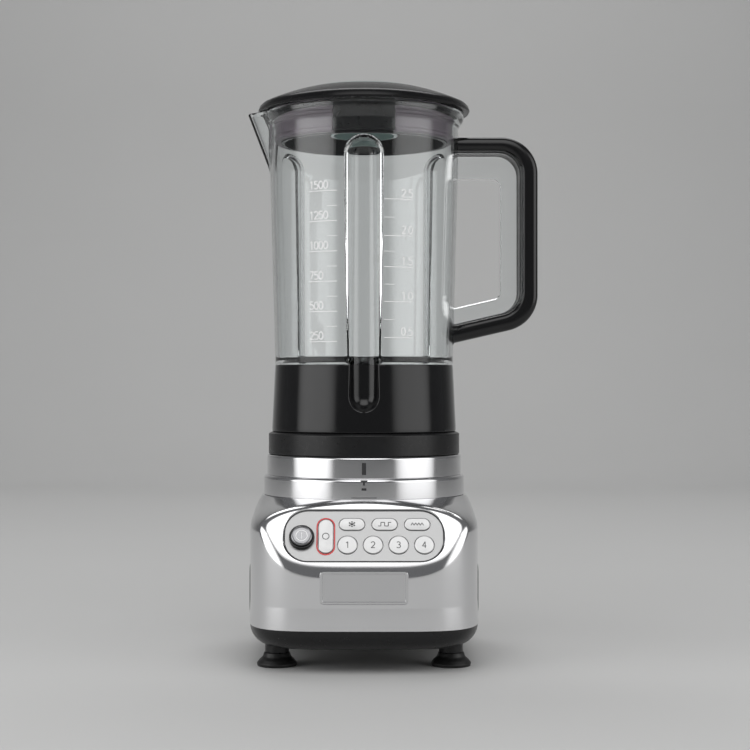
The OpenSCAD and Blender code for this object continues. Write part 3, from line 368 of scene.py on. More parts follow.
around = np.arange(480) * 2 * np.pi / 480
levels = np.concatenate([
    [pan_top], np.linspace(pan_top + 0.3, flare_z - 5, 7), np.linspace(flare_z - 4.5, flare_z + 0.5, 10),
    np.linspace(flare_z + 2, shoulder_z - 2, 44), np.linspace(shoulder_z, housing_top, 46)])
outside = np.stack([ring_of(housing_radius(around, z), around, z) for z in levels])
inside_levels = np.linspace(housing_top - housing_wall, pan_top, 14)
inside = np.stack([ring_of(housing_radius(around, z, housing_wall), around, z) for z in inside_levels])
throat = np.stack([ring_of(np.full(480, throat_r), around, z)
                   for z in (housing_top, housing_top - housing_wall)])
housing_rings = np.concatenate([outside, throat, inside])
housing_faces = join_rings(housing_rings, over=True)
housing = place("housing_skin", [housing_faces], "base", "chrome", ["housing"], sharp=32)

# %% [markdown]
# The pockets for the panel, the badge, the rear cover and the side vents are cut out with Boolean
# modifiers. The cutters are plain blocks with rounded corners, and they are deleted after the result
# is read back into the housing's mesh.

# %% Pockets in the housing
def cut(target, blocks, sharp=32):
    """Cuts closed blocks out of a piece and keeps the result as its mesh."""
    tools = []
    for number, block in enumerate(blocks):
        tool = bpy.data.objects.new(f"cutter_{number}", make_mesh("cutter", [block]))
        bpy.context.scene.collection.objects.link(tool)
        step = target.modifiers.new("cut", "BOOLEAN")
        step.operation, step.solver, step.object = "DIFFERENCE", "EXACT", tool
        tools.append(tool)
    bpy.context.view_layer.update()
    done = bpy.data.meshes.new_from_object(target.evaluated_get(bpy.context.evaluated_depsgraph_get()))
    target.modifiers.clear()
    target.data = done
    for tool in tools:
        bpy.data.objects.remove(tool)
    done.shade_smooth()
    done.set_sharp_from_angle(angle=math.radians(sharp))
    print(f"{target.name}: cut to {len(done.polygons)} faces")


def facing(rings, where, axes):
    """Rings of (right, up, out) set at a place, with the three directions given as rows of axes."""
    return np.asarray(where, float) + rings @ np.asarray(axes, float)


FRONT = ((1, 0, 0), (0, 0, 1), (0, -1, 0))
BACK = ((-1, 0, 0), (0, 0, 1), (0, 1, 0))
RIGHT = ((0, 1, 0), (0, 0, 1), (1, 0, 0))
LEFT = ((0, -1, 0), (0, 0, 1), (-1, 0, 0))
badge_z, rear_z, vent_z, vent_y = pan_top + 30, pan_top + 40, pan_top + 19.5, 12.0
badge_at, rear_at = (0, 1 - base_d / 2, badge_z), (0, base_d / 2 - 1.5, rear_z)
right_at, left_at = (base_w / 2 - 1.3, vent_y, vent_z), (1.3 - base_w / 2, vent_y, vent_z)
pocket, window = [(0, 0), (0, 9)], [(0, -9), (0, 5)]
pockets = [
    join_rings(on_panel(pad(112.1, 40.1, 17.05, [(0, -3.3), (0, -0.6), (-0.7, 0.05), (-0.7, 12)]))),
    join_rings(on_panel(pad(104, 32, 13, [(0, -9), (0, -2)]))),
    join_rings(facing(pad(61.3, 23.3, 3.2, pocket), badge_at, FRONT)),
    join_rings(facing(pad(76.3, 56.3, 8.2, pocket), rear_at, BACK)),
    join_rings(facing(pad(68, 48, 4, window), rear_at, BACK)),
    join_rings(facing(pad(74.3, 36.3, 7.2, pocket), right_at, RIGHT)),
    join_rings(facing(pad(74.3, 36.3, 7.2, pocket), left_at, LEFT)),
    join_rings(facing(pad(66, 28, 3, window), right_at, RIGHT)),
    join_rings(facing(pad(66, 28, 3, window), left_at, LEFT)),
]
cut(housing, pockets)

# %% [markdown]
# ## Collar, pan and feet
# The collar is two polished rings, each smaller than the one below, with a rolled top edge that
# catches a thin bright line. They are turned pieces, so a profile carried round the axis is all they
# need. The pan under the housing follows the housing's plan and rolls under with a wide radius. The
# feet are rubber suction cups on short posts.

# %% Collar rings
def collar_ring(name, node, z, outer_r, top_z, radii):
    """A collar ring turned from its rectangular section, its top outer corner on the widest radius."""
    section = [(ring_bore_r, z), (outer_r, z), (outer_r, top_z), (ring_bore_r, top_z)]
    place(name, [turned(section, radii, 256, 8)], "base", "chrome", [node])


step_z = housing_top + ring_h
collar_ring("collar_low_skin", "collar_lower_ring", housing_top, lower_ring_r, step_z, [0.2, 0.5, 2.6, 0.2])
collar_ring("collar_high_skin", "collar_upper_ring", step_z, upper_ring_r, collar_top, [0.2, 0.2, 1.8, 0.2])

# %% Base pan
def pan_rings(inset, levels_up):
    """The pan's rings: the housing's plan moved in along a quarter circle of 13.5 mm at its lower edge."""
    drop = np.maximum(0, pan_z + pan_round - levels_up)
    tuck = pan_round - np.sqrt(np.maximum(0, pan_round**2 - drop**2)) + inset - 0.1
    return np.stack([ring_of(plan(base_w / 2 - t, base_d / 2 - t, around), around, z)
                     for t, z in zip(tuck, levels_up)])


steps_up = pan_z + pan_round * (1 - np.cos(np.linspace(0.0, np.pi / 2, 14)))
pan_outside = pan_rings(0, np.concatenate([steps_up, [pan_top]]))
pan_inside = pan_rings(2.5, np.linspace(pan_top, pan_z + 2.5, 8))
pan_sides = join_rings(np.concatenate([pan_outside, pan_inside]))
pan = place("base_pan_skin", [pan_sides], "base", "satin_black", ["base_pan"])
slot_under = pad(3.2, 44, 1.5, [(0, pan_z - 2), (0, pan_z + 6)], 4)
cut(pan, [join_rings(slot_under + [x, 0, 0]) for x in np.arange(-3, 4) * 7.0])

# %% Feet
foot_x, foot_y = high("suction_feet", 0) - 14.4, high("suction_feet", 1) - 14.4
foot_at = [(sx * foot_x, sy * foot_y, 0) for sx in (-1, 1) for sy in (-1, 1)]
foot = turned([(0.05, 3.6), (8, 3.2), (12.4, 0), (14, 0), (14.4, 2.2), (12.6, 4.6), (10.2, 6.6), (9.2, 9.7),
               (0.05, 9.7)], [0, 1, 0.3, 0.6, 1.0, 2.5, 3, 0.4, 0], 64, 4)
post = turned([(0.05, 9.7), (8.6, 9.7), (8.6, pan_z + 2.6), (9.2, pan_z + 2.6), (9.2, pan_z + 4.5),
               (0.05, pan_z + 4.5)], [0, 0.4, 0, 0.2, 0.2, 0], 64, 3)
moved = lambda part, by: (part[0] + np.asarray(by, float), part[1], part[2])
place("suction_cups", [moved(foot, at) for at in foot_at], "base", "black_rubber", ["suction_feet"])
place("foot_stems", [moved(post, at) for at in foot_at], "base", "satin_black", ["foot_posts"])

# %% [markdown]
# ## Badge, keys and their signs
# The badge is a blank plate with a raised border. The keys are moulded caps in sliding fits: each
# stands a little proud of the panel and has a softly rounded edge, which is what shows that it can
# be pressed. Signs are drawn as thin strokes: a path gets a narrow flat section, so one function
# serves the keys, the marks on the collar and the scale on the jug. The strokes are printed signs,
# except one thin dark line on the collar, which is a painted reflection.

# %% Badge plate
badge = pad(61, 23, 3, [(0, 0), (0, 1.15), (0.35, 1.5), (1.7, 1.5), (2.0, 1.15), (9, 1.1), (11.3, 1.1)])
badge_rings = facing(badge, badge_at, FRONT)
place("badge_skin", [join_rings(badge_rings)], "base", "badge_metal", ["badge_plate"], sharp=25)


# %% Key caps
def key_cap(name, node, w, h, at, top=0.1, dish=0.25):
    """A key: its outline rises straight, turns over on a 0.7 mm edge and sinks by dish towards its middle."""
    q = np.linspace(0, np.pi / 2, 6)
    edge = [(0.7 - 0.7 * math.cos(a), top - 0.7 + 0.7 * math.sin(a)) for a in q]
    reach = min(w, h) / 2 - 0.7
    face = [(0.7 + reach * t, top - dish * math.sin(t * math.pi / 2)) for t in (0.15, 0.35, 0.6, 0.8, 0.97)]
    skirt = [(-1.0, -4.6), (-1.0, -3.45), (0, -3.45), (0, top - 1.5)]
    rings = pad(w, h, min(w, h) / 2, skirt + edge + face, 16)
    place(name, [join_rings(on_panel(rings, at))], body_named[node], "button_silver", [node], sharp=50)


bodies = frame["record"]["behaviour"]["bodies"]
body_named = {part: body for body, parts in bodies.items() for part in parts}
pill_at = [(-8.4 + 22.8 * i, 8.8) for i in range(3)]
speed_at = [(-11.5 + 17.8 * i, -6.9) for i in range(4)]
stop_at, knob_at = (-26.6, -0.4), (-43.3, -1.6)
for number, node in enumerate(("ice_button", "pulse_button", "hold_button")):
    key_cap(node + "_cap", node, 18, 9.4, pill_at[number])
for number in range(4):
    key_cap(f"speed_cap_{number + 1}", f"speed_button_{number + 1}", 13.8, 13.8, speed_at[number])
key_cap("stop_cap", "stop_button", 10.6, 26, stop_at)

# %% Power knob
knob = pad(14.8, 14.8, 7.4, [(-0.8, -4.6), (-0.8, -3.45), (0, -3.45), (0, 3.1), (0.12, 3.6), (0.5, 4.05),
                             (1.0, 4.2), (1.35, 4.0), (1.6, 3.75), (3.5, 3.68), (7.3, 3.65)], 24)
knob_faces = join_rings(on_panel(knob, knob_at))
place("power_cap", [knob_faces], "power_button", "knob_metal", ["power_button"], sharp=35)
bezel = pad(17.8, 17.8, 8.9, [(1.2, -0.8), (0, -0.8), (0, 1.6), (0.15, 2.05), (0.5, 2.2), (1.0, 2.1),
                              (1.2, 1.9)], 24)
bezel_faces = join_rings(on_panel(bezel, knob_at), over=True)
place("power_bezel_skin", [bezel_faces], "base", "gloss_black", ["power_bezel"], sharp=40)


# %% Strokes
def bow(cx, cy, rx, ry, start, end, n=14):
    """Points on part of an ellipse, from one angle to another, in degrees."""
    a = np.radians(np.linspace(start, end, n))
    return np.column_stack([cx + rx * np.cos(a), cy + ry * np.sin(a)])


def run_of(*points, n=6):
    """Straight runs through the points, each cut into n equal steps."""
    p = np.array(points, float)
    t = np.linspace(0, 1, n, endpoint=False)[None, :, None]
    return np.concatenate([(p[:-1, None] * (1 - t) + p[1:, None] * t).reshape(-1, 2), p[-1:]])


# Each digit's strokes, in a box 0.6 wide and 1 high.
DIGITS = {
    "0": [bow(0.3, 0.5, 0.27, 0.47, 90, 450, 28)],
    "1": [run_of((0.12, 0.78), (0.36, 0.98)), run_of((0.36, 0.98), (0.36, 0))],
    "2": [np.concatenate([bow(0.3, 0.71, 0.27, 0.26, 165, -35), run_of((0.5, 0.52), (0.03, 0.03))]),
          run_of((0.03, 0.03), (0.58, 0.03))],
    "3": [bow(0.28, 0.75, 0.25, 0.22, 150, -90), bow(0.28, 0.27, 0.29, 0.26, 90, -150)],
    "4": [run_of((0.43, 0), (0.43, 0.98)), run_of((0.43, 0.98), (0.02, 0.3)),
          run_of((0.02, 0.3), (0.6, 0.3))],
    "5": [run_of((0.54, 0.97), (0.1, 0.97)), run_of((0.1, 0.97), (0.07, 0.55)),
          bow(0.28, 0.32, 0.29, 0.31, 135, -145, 18)],
    "7": [run_of((0.03, 0.97), (0.57, 0.97)), run_of((0.57, 0.97), (0.2, 0))],
    ".": [run_of((0.27, 0.03), (0.36, 0.03))],
}


def stroke(path, width, foot=-0.06, top=0.07):
    """A flat band along a path: at each point, two edges half a width to either side, at two heights."""
    step = np.gradient(path, axis=0)
    length = np.maximum(np.linalg.norm(step, axis=1, keepdims=True), 1e-9)
    side = np.column_stack([-step[:, 1], step[:, 0]]) / length
    left, right = path + side * width / 2, path - side * width / 2
    put = lambda p, h: np.column_stack([p, np.full(len(p), h)])
    return np.stack([put(left, foot), put(right, foot), put(right, top), put(left, top)], 1)


def digits(text, x, y, height, right=False, pitch=0.68):
    """Paths of a number whose left edge, or right edge, is at x and whose foot is at y."""
    steps = [0.3 if c == "." else pitch for c in text]
    start = x - (sum(steps) - (pitch - 0.6)) * height if right else x
    offsets = start + (np.cumsum([0] + steps)[:-1]) * height
    return [np.array([o - (0.17 * height if c == "." else 0), y]) + path * height
            for c, o in zip(text, offsets) for path in DIGITS[c]]


# %% Signs on the keys
def round_at(r, a):
    """The point at radius r and angle a."""
    return np.array([r * math.cos(a), r * math.sin(a)])


spokes = [run_of(-round_at(2.5, a), round_at(2.5, a)) for a in np.arange(3) * math.pi / 3 + math.pi / 2]
barbs = [run_of(round_at(1.5, a) + round_at(0.75, a + t), round_at(1.5, a), n=2)
         for a in np.arange(6) * math.pi / 3 + math.pi / 2 for t in (0.75, -0.75)]
wave = lambda cx, n: [run_of(*[(cx + 1.1 * i - 0.55 * n, (-0.9, 1.1)[i % 2]) for i in range(n + 1)], n=3)]
square_wave = [(-4.6, -1.4), (-2.6, -1.4), (-2.6, 1.4), (0, 1.4), (0, -1.4), (2.6, -1.4), (2.6, 1.4),
               (4.6, 1.4)]
signs = {
    "ice_button": (pill_at[0], spokes + barbs, -0.12),
    "pulse_button": (pill_at[1], [run_of(a, b) for a, b in zip(square_wave, square_wave[1:])], -0.12),
    "hold_button": (pill_at[2], wave(0, 8), -0.12),
    "stop_button": (stop_at, [bow(0, 0, 2.3, 2.3, 0, 360, 36)], -0.12),
    "power_button": (knob_at, [bow(0, 0, 3.9, 3.9, 0, 360, 40), run_of((0, -2.2), (0, 2.2))], 3.68),
}
for number in range(4):
    signs[f"speed_button_{number + 1}"] = (speed_at[number], digits(str(number + 1), -1.5, -2.4, 4.8), -0.12)
for node, (at, paths, level) in signs.items():
    bands = [join_rings(on_panel(stroke(path, 0.55, level - 0.1, level + 0.06), at)) for path in paths]
    place(node + "_sign", bands, node, "mark_grey" if node != "power_button" else "mark_white")

# %% [markdown]
# ## Jug: foot ring and skirt
# The jug stands on a black ring that drops into the collar, and above it a glossy skirt hides the
# coupling. Three flutes run from the skirt right up the clear jar. A flute is a rod with a ball at
# each end, pressed into the wall: seen from the axis, the near side of a circle of radius R whose
# centre is at distance A lies at A cos d - sqrt(R^2 - A^2 sin^2 d), where d is the angle from it.

# %% Flutes
flute_angles = np.radians([-90, 30, 150])
flute_low, flute_high = skirt_z + 27.0, jar_top - 39.0


def flute_depth(angle, z, grow, low_grow=0.0):
    """Distance from the axis to the near side of the flutes, grown by a wall; far where there is none."""
    r = flute_r + grow + np.where(z < seam_z, low_grow, 0.0)
    past = np.maximum(np.maximum(flute_low - z, z - flute_high), 0)
    r2 = np.maximum(r * r - past * past, 0)
    d = np.min(np.abs((angle[None] - flute_angles[:, None] + np.pi) % (2 * np.pi) - np.pi), 0)
    inside = r2 - (flute_at * np.sin(d)) ** 2
    reach = flute_at * np.cos(d) - np.sqrt(np.maximum(inside, 0))
    return np.where((inside > 0) & (d < 0.4), reach, flute_at + 6 + np.sqrt(np.maximum(-inside, 0)) * 0.5)


edge = math.asin((flute_r + jar_wall + 1.2) / flute_at)
near = np.sin(np.linspace(-np.pi / 2, np.pi / 2, 61)) * 0.55 + np.linspace(-1, 1, 61) * 0.45
rest = np.linspace(edge, 2 * np.pi / 3 - edge, 61)[1:-1]
columns = np.concatenate([(a + np.concatenate([near * edge, rest])) % (2 * np.pi) for a in flute_angles])
columns = np.unique(np.round(np.concatenate([columns, np.pi + np.linspace(-0.34, 0.34, 51)]), 5))
columns = columns[np.concatenate([[True], np.diff(columns) > 0.0035])]
print(len(columns), "columns round the jug")


def fluted_ring(radius, z, grow, low_grow=0.0, k=1.2):
    """A ring of the jug's surface: its round radius, softly cut by the flutes."""
    radius = np.broadcast_to(radius, columns.shape)
    return ring_of(soft_min(radius, flute_depth(columns, z, grow, low_grow), k), columns, z)


# %% Skirt and foot ring
skirt_low_r, tub_r = upper_ring_r - 3.7, jar_low_r - 2.75
u = np.concatenate([np.linspace(0, 1, 8) ** 2 * 0.06, np.linspace(0.1, 1, 56)])
skirt_up = skirt_z + 1.2 + (seam_z - skirt_z - 1.2) * u
part_up = np.clip((skirt_up - skirt_z - 3) / (seam_z - skirt_z - 3), 0, 1)
skirt_r = skirt_low_r + (jar_low_r + 0.1 - skirt_low_r) * part_up
hub_ring = lambda z: ring_of(np.full(columns.shape, hub_hole_r), columns, z)
skirt_out = [hub_ring(skirt_z)]
skirt_out += [fluted_ring(skirt_low_r - r, skirt_z + z, 0) for r, z in ((1.2, 0), (0.35, 0.35), (0, 1.2))]
skirt_out += [fluted_ring(r, z, 0) for r, z in zip(skirt_r[1:-1], skirt_up[1:-1])]
skirt_out += [fluted_ring(jar_low_r - 0.2, seam_z, 0)]
skirt_in = [fluted_ring(tub_r + 0.15, z, skirt_wall) for z in np.linspace(seam_z, skirt_z + 8, 30)]
skirt_in += [fluted_ring(r, skirt_z + z, skirt_wall) for r, z in ((tub_r - 1, 5.2), (tub_r - 4, 4))]
skirt_in += [hub_ring(skirt_z + 4)]
skirt = join_rings(np.stack(skirt_out + skirt_in), over=True)
place("skirt_skin", [skirt], "jug", "gloss_black", ["jug_skirt"], sharp=60)

foot_ring_r = upper_ring_r - 1.1
spigot_r = seat_r - 2.8
section = [
    (13, skirt_z - 3), (spigot_r - 2.6, skirt_z - 3), (spigot_r - 2.6, collar_top - 12),
    (spigot_r, collar_top - 12), (spigot_r, ring_z), (foot_ring_r, ring_z), (foot_ring_r, skirt_z - 1.2),
    (foot_ring_r - 2.4, skirt_z), (13, skirt_z)]
foot_ring = turned(section, [0.3, 0.3, 0.4, 0.8, 0.3, 0.6, 1.1, 0.8, 0.3], 256)
place("foot_ring_skin", [foot_ring], "jug", "satin_black", ["jug_foot_ring"])

# %% [markdown]
# ## Clear jar
# The jar is one moulding with an even wall: outside and inside are worked out by the same formula,
# the inside with the wall's 3 mm taken off. The pouring lip is a wedge that grows out of the round
# wall towards the rim. A closed wall matters here, because light that enters a clear solid has to
# leave it through a second surface to bend as it does in a real jar.

# %% Jar surface
def jar_radius(z):
    """The round jar's outside: two straight tapers, then a smooth 4 mm flare to the rim."""
    mid_z, mid_r = seam_z + 0.71 * (jar_top - seam_z), jar_low_r + 0.88 * (jar_high_r - jar_low_r)
    r = np.interp(z, [seam_z, mid_z, jar_top - 19, jar_top], [jar_low_r, mid_r, jar_high_r, jar_high_r])
    t = np.clip((z - jar_top + 12) / 8, 0, 1)
    return r + 4 * t * t * (3 - 2 * t)


def lip_radius(angle, z, back):
    """Distance from the axis to the pouring lip: in each level it is a triangle with its tip at X and its
    foot 62 out and w to each side, so X / (cos d + (X - 62) / w sin d), with sin d rounded near 0 so that
    the tip is an arc. The inside is moved back by the wall."""
    up = np.maximum(1 - (jar_top - z + 1.0 * (back > 0)) / 65, 1e-3)
    x, w = 62 + 25 * up - back, 21 * up
    d = np.abs(angle % (2 * np.pi) - np.pi)
    across = np.sqrt(np.sin(d) ** 2 + 0.06**2) - 0.06
    reach = x / np.maximum(np.cos(d) + (x - 62 + back) / w * across, 0.2)
    return np.where(d < 1.0, reach, 0)


def jar_ring(z, back, r=None):
    """A ring of the jar, outside with back 0 or inside with back as the wall: flutes cut it, the lip adds
    to it. Both are soft: the smaller of wall and flute, then the larger of that and the lip."""
    r = jar_radius(z) - back if r is None else r
    wall = soft_min(np.full(columns.shape, r), flute_depth(columns, z, back, 2.75), 1.2)
    lip = lip_radius(columns, z, back + 0.2 if back else 0.0) if z > jar_top - 64 else 0 * columns
    return ring_of(-soft_min(-wall, -lip, 2.0), columns, z)


ends = lambda z0, z1, n: z0 + (z1 - z0) * (1 - np.cos(np.linspace(0, np.pi, n))) / 2
up_jar = np.unique(np.round(np.concatenate([
    np.linspace(seam_z + 0.3, flute_high, 70), ends(flute_high, flute_high + flute_r + 4, 26),
    np.linspace(flute_high + flute_r + 4, jar_top - 0.8, 16)]), 3))
floor_z = skirt_z + 4.0
tub_z = np.linspace(floor_z + 4, seam_z - 0.2, 18)
outside = [hub_ring(floor_z), jar_ring(floor_z, 0, tub_r - 4), jar_ring(floor_z + 1.2, 0, tub_r - 1.2)]
outside += [jar_ring(z, 0, tub_r) for z in tub_z] + [jar_ring(seam_z + 0.05, 0, jar_low_r - 0.3)]
outside += [jar_ring(z, 0) for z in up_jar]
rim = [jar_ring(jar_top, 0) * [1 - 0.5 / 74, 1 - 0.5 / 74, 1],
       jar_ring(jar_top, jar_wall) * [1 + 0.5 / 71, 1 + 0.5 / 71, 1]]
inside = [jar_ring(z, jar_wall) for z in up_jar[::-1] if z > seam_z + 3.5]
inside += [jar_ring(z, jar_wall, tub_r - jar_wall) for z in tub_z[::-1]]
inside += [jar_ring(floor_z + 4.2, jar_wall, tub_r - 4.2), jar_ring(floor_z + 3, jar_wall, tub_r - 7),
           hub_ring(floor_z + 3)]
jar = join_rings(np.stack(outside + rim + inside), over=True)
place("jar_skin", [jar], "jug", "clear_jar", ["jar"], sharp=50)

# %% [markdown]
# ## Handle
# The handle is a clear web moulded onto the jar, with a black grip around its outer edge. In side
# view both lie between two paths, one around the other, each with rounded corners. A rounded
# rectangle is carried along between the paths, and where the arms meet the jar their ends take the
# jar's own round shape.

# %% Handle paths
reach, grip_t, bend_r, slope = 129.5, 12.8, 27.0, math.radians(13)
top_z, top_t = jar_top - 23.5, 10.5
low_z, web_w = top_z - 127.0, 15
rise = grip_t / 2 / math.cos(slope)


def handle_path(x, z_top, z_low, r, x_near):
    """Side view of the handle from the jar out along the top arm, down its back and in along the lower arm,
    which slopes by 13 degrees. The two corners are turned on arcs of radius r with 24 steps."""
    z_end = z_low - (x - x_near) * math.tan(slope)
    corners = np.array([(x_near, z_top), (x, z_top), (x, z_low), (x_near, z_end)])
    lead = [corners[0] + (corners[1] - corners[0]) * t for t in (0.0, 0.08, 0.3)]
    tail = [corners[3] + (corners[2] - corners[3]) * t for t in (0.3, 0.08, 0.0)]
    return np.concatenate([lead[:1], lead[1:], rounded(corners, [0, r, r, 0], 24, closed=False)[1:-1], tail])


# Three paths: round the grip, between grip and web, and round the opening for the fingers.
fall = math.tan(slope)
low_in = low_z + rise
grip_out = lambda near: handle_path(reach, top_z + top_t / 2, low_z - rise, bend_r, near)
grip_in = lambda near: handle_path(reach - grip_t, top_z - top_t / 2, low_in - grip_t * fall, bend_r - 10,
                                   near)
gap_at = lambda near: handle_path(reach - grip_t - web_w, top_z - top_t / 2 - 20.5,
                                  low_in - (grip_t + web_w) * fall + 13, 6, near)


def carried(outer, inner, width, corner, gap=0.15):
    """A rounded rectangle carried between two paths: its thickness is their distance and its width runs
    along Y. Ends near the jar are moved out to the round wall plus gap: x = sqrt((R + gap)^2 - y^2)."""
    span = outer - inner
    t = np.linalg.norm(span, axis=1)[:, None]
    out = (span / t)[:, None]
    flat = stadium(2, 2, 1, 7)
    q = np.arctan2(flat[:, 1], flat[:, 0])[None]
    sx, sy = np.sign(np.round(flat[:, 0], 6))[None], np.sign(np.round(flat[:, 1], 6))[None]
    a = sx * (t / 2 - corner) + corner * np.cos(q)
    b = sy * (width / 2 - corner) + corner * np.sin(q)
    middle = (outer + inner)[:, None] / 2
    x, z = (middle + out * a[..., None]).transpose(2, 0, 1)
    y = np.broadcast_to(b, x.shape)
    wall = np.sqrt(np.maximum((jar_radius(z) + gap) ** 2 - y**2, 0))
    return np.stack([np.maximum(x, wall), y, z], -1)


grip = carried(grip_out(62), grip_in(62), 23, 4.6)
place("grip_skin", [join_rings(grip)], "jug", "gloss_black", ["handle_grip"], sharp=60)
web = carried(grip_in(64), gap_at(64), 12, 1.2, gap=0.02)
place("web_skin", [join_rings(web)], "jug", "clear_jar", sharp=60)

# %% [markdown]
# ## Scale on the jug
# The two columns of marks are printed in white on the outside. The strokes are drawn flat, as on a
# printing screen, and then wrapped round the jar: the way across becomes an angle, and the height
# of a stroke stands out from the wall. Only numbers are drawn, and the units are left out.

# %% Printed scale
def wrapped(points, radius):
    """Points (across, up, out) laid round an upright wall at the front: across / radius is the angle."""
    s, z, w = points[..., 0], points[..., 1], points[..., 2]
    r = radius(z) if callable(radius) else np.full(s.shape, radius)
    a = s / r - np.pi / 2
    return np.stack([(r + w) * np.cos(a), (r + w) * np.sin(a), z], -1)


marks = []
for number, text in enumerate(("250", "500", "750", "1000", "1250", "1500")):
    z = seam_z + 16.3 + 21.46 * number
    marks += [(run_of((-41.8, z), (-19.5, z), n=16), 0.5)]
    marks += [(path, 0.75) for path in digits(text, -41.4, z + 1.5, 5.7)]
    if number < 5:
        marks += [(run_of((-27, z + 10.73), (-19.5, z + 10.73)), 0.4)]
for z, text in zip((235.1, 260.7, 285.4, 307.5, 333.5), ("0.5", "1.0", "1.5", "2.0", "2.5")):
    z = z - 216.0 + seam_z
    marks += [(run_of((14.3, z), (36.7, z), n=16), 0.5)]
    marks += [(path, 0.75) for path in digits(text, 36.4, z + 1.5, 5.7, right=True)]
for z in (247.9, 273.0, 296.4, 320.5):
    marks += [(run_of((14.3, z - 216.0 + seam_z), (22, z - 216.0 + seam_z)), 0.4)]
bands = [join_rings(wrapped(stroke(path, width, -0.02, 0.09), jar_radius)) for path, width in marks]
place("jug_scale", bands, "jug", "mark_white")

# %% Marks on the collar, and a painted reflection
def collar_marks(name, marks, radius):
    """Bands (path, width) laid round a collar ring of that radius: printed marks, and on the lower ring one
    painted reflection.
    """
    bands = [join_rings(wrapped(stroke(path, width, -0.03, 0.08), radius)) for path, width in marks]
    place(name, bands, "base", "mark_grey")


collar_marks("collar_bar_mark", [(run_of((0, collar_top - 12.3), (0, collar_top - 3.8)), 3.0)], upper_ring_r)
collar_marks("collar_low_marks_and_painted_reflection", [
    (run_of((-2.4, housing_top + 13.4), (2.4, housing_top + 13.4)), 0.9),
    (run_of((0, housing_top + 10.4), (0, housing_top + 13)), 1.5),
    (run_of((-1.7, housing_top + 7.6), (1.7, housing_top + 7.6)), 1.7),
    # Painted reflection: this thin dark line, 18 mm long at the foot of the ring, stands for a reflection of
    # the mark above it, not a print.
    (run_of((-9, housing_top + 1.6), (9, housing_top + 1.6), n=12), 0.45)], lower_ring_r)

# %% [markdown]
# ## Lid and filler cap
# The lid is a shallow dome with a plug that grips the jar through a soft ring seal. The seal has two
# lips and leaves room at the front for a stiff black plate. The filler cap closes the hole in the
# middle and carries on the lid's curve, so both tops are parts of one sphere.

# %% Lid
lid_r, plug_r, plug_z, cap_r, cup_r = 79.0, jar_high_r - 8.5, lid_z - 23.2, 47.0, 25.0
dome_r = ((lid_r - 5) ** 2 + 15.4**2) / (2 * 15.4)
dome_at = lambda r: dome_top - (dome_r - np.sqrt(dome_r**2 - np.asarray(r, float) ** 2))
shelf = float(dome_at(cap_r)) - 3.1
r_out = np.linspace(cap_r + 0.9, lid_r - 5, 14)
edge_z = float(dome_at(lid_r - 5))
profile = [(cup_r + 0.4, shelf - 2.5), (cup_r + 0.4, shelf), (cap_r + 0.3, shelf),
           (cap_r + 0.3, float(dome_at(cap_r + 0.3)) - 0.5)]
profile += [(r, float(dome_at(r))) for r in r_out]
profile += [(lid_r - 2.6, edge_z - 1.1), (lid_r - 0.9, edge_z - 2.8), (lid_r, edge_z - 5.4),
            (lid_r - 0.8, lid_z), (plug_r, lid_z), (plug_r, plug_z), (plug_r - 2.5, plug_z),
            (plug_r - 2.5, float(dome_at(plug_r)) - 3.5)]
lid = join_rings(lathe(profile, 256), over=True)
place("lid_skin", [lid], "lid", "lid_black", ["lid_body"], sharp=32)


# %% Seal and front plate
def part_turn(profile, start, end, n):
    """A closed profile of (radius, height) carried round the axis from one angle to another, in degrees."""
    p = np.asarray(profile, float)
    a = np.radians(np.linspace(start, end, n))[:, None]
    return np.stack([p[:, 0] * np.cos(a), p[:, 0] * np.sin(a), np.broadcast_to(p[:, 1], (n, len(p)))], -1)


seal_r, seal_low, seal_high = jar_high_r - jar_wall - 0.3, plug_z + 0.6, lid_z - 3.0
lips = rounded([
    (plug_r + 0.05, seal_low), (seal_r - 1.2, seal_low), (seal_r, seal_low + 1.5), (seal_r, seal_low + 3),
    (seal_r - 1, seal_low + 4.2), (seal_r - 1, seal_high - 6), (seal_r, seal_high - 4.8),
    (seal_r, seal_high - 3), (seal_r - 1, seal_high - 2), (seal_r - 1, seal_high),
    (plug_r + 0.05, seal_high)],
    [0.2, 0.4, 0.5, 0.5, 0.3, 0.3, 0.5, 0.5, 0.3, 0.2, 0.2], 3)
seal = join_rings(part_turn(lips[::-1], -90 + 19.5, 270 - 19.5, 200))
place("seal_skin", [seal], "lid", "lid_seal_grey", ["lid_seal"], sharp=40)
plate = rounded([(plug_r - 0.4, plug_z + 2), (seal_r - 0.5, plug_z + 2), (seal_r - 0.5, lid_z + 0.5),
                 (plug_r - 0.4, lid_z + 0.5)], [0.3, 0.8, 0.3, 0.3], 4)
front = join_rings(part_turn(plate[::-1], -90 - 19.1, -90 + 19.1, 40))
place("front_plate", [front], "lid", "satin_black", sharp=40)

# %% Filler cap
cap_z = shelf + 0.3
cap_top = [(r, float(dome_at(r))) for r in np.linspace(cap_r - 0.6, 0.05, 16)]
cap_profile = [(0.05, dome_top - 3), (cup_r - 2.2, dome_top - 3), (cup_r - 2.2, cap_z - 30),
               (cup_r, cap_z - 30), (cup_r, cap_z), (cap_r - 0.5, cap_z), (cap_r, shelf + 0.8),
               (cap_r, float(dome_at(cap_r)) - 0.6)]
cap = join_rings(lathe(cap_profile + cap_top, 256), over=True)
place("cap_skin", [cap], "cap", "cap_tint", ["filler_cap"], sharp=32)

# %% [markdown]
# ## Studio
# A pale floor runs up into a pale wall on a wide curve, so no horizon shows. The light comes from
# large soft panels: chrome shows nothing of its own, only what stands round it, so the bright panels
# and the dim gaps between them draw the housing's shape. The cards are hidden from the camera
# itself, as they would be in a product studio.

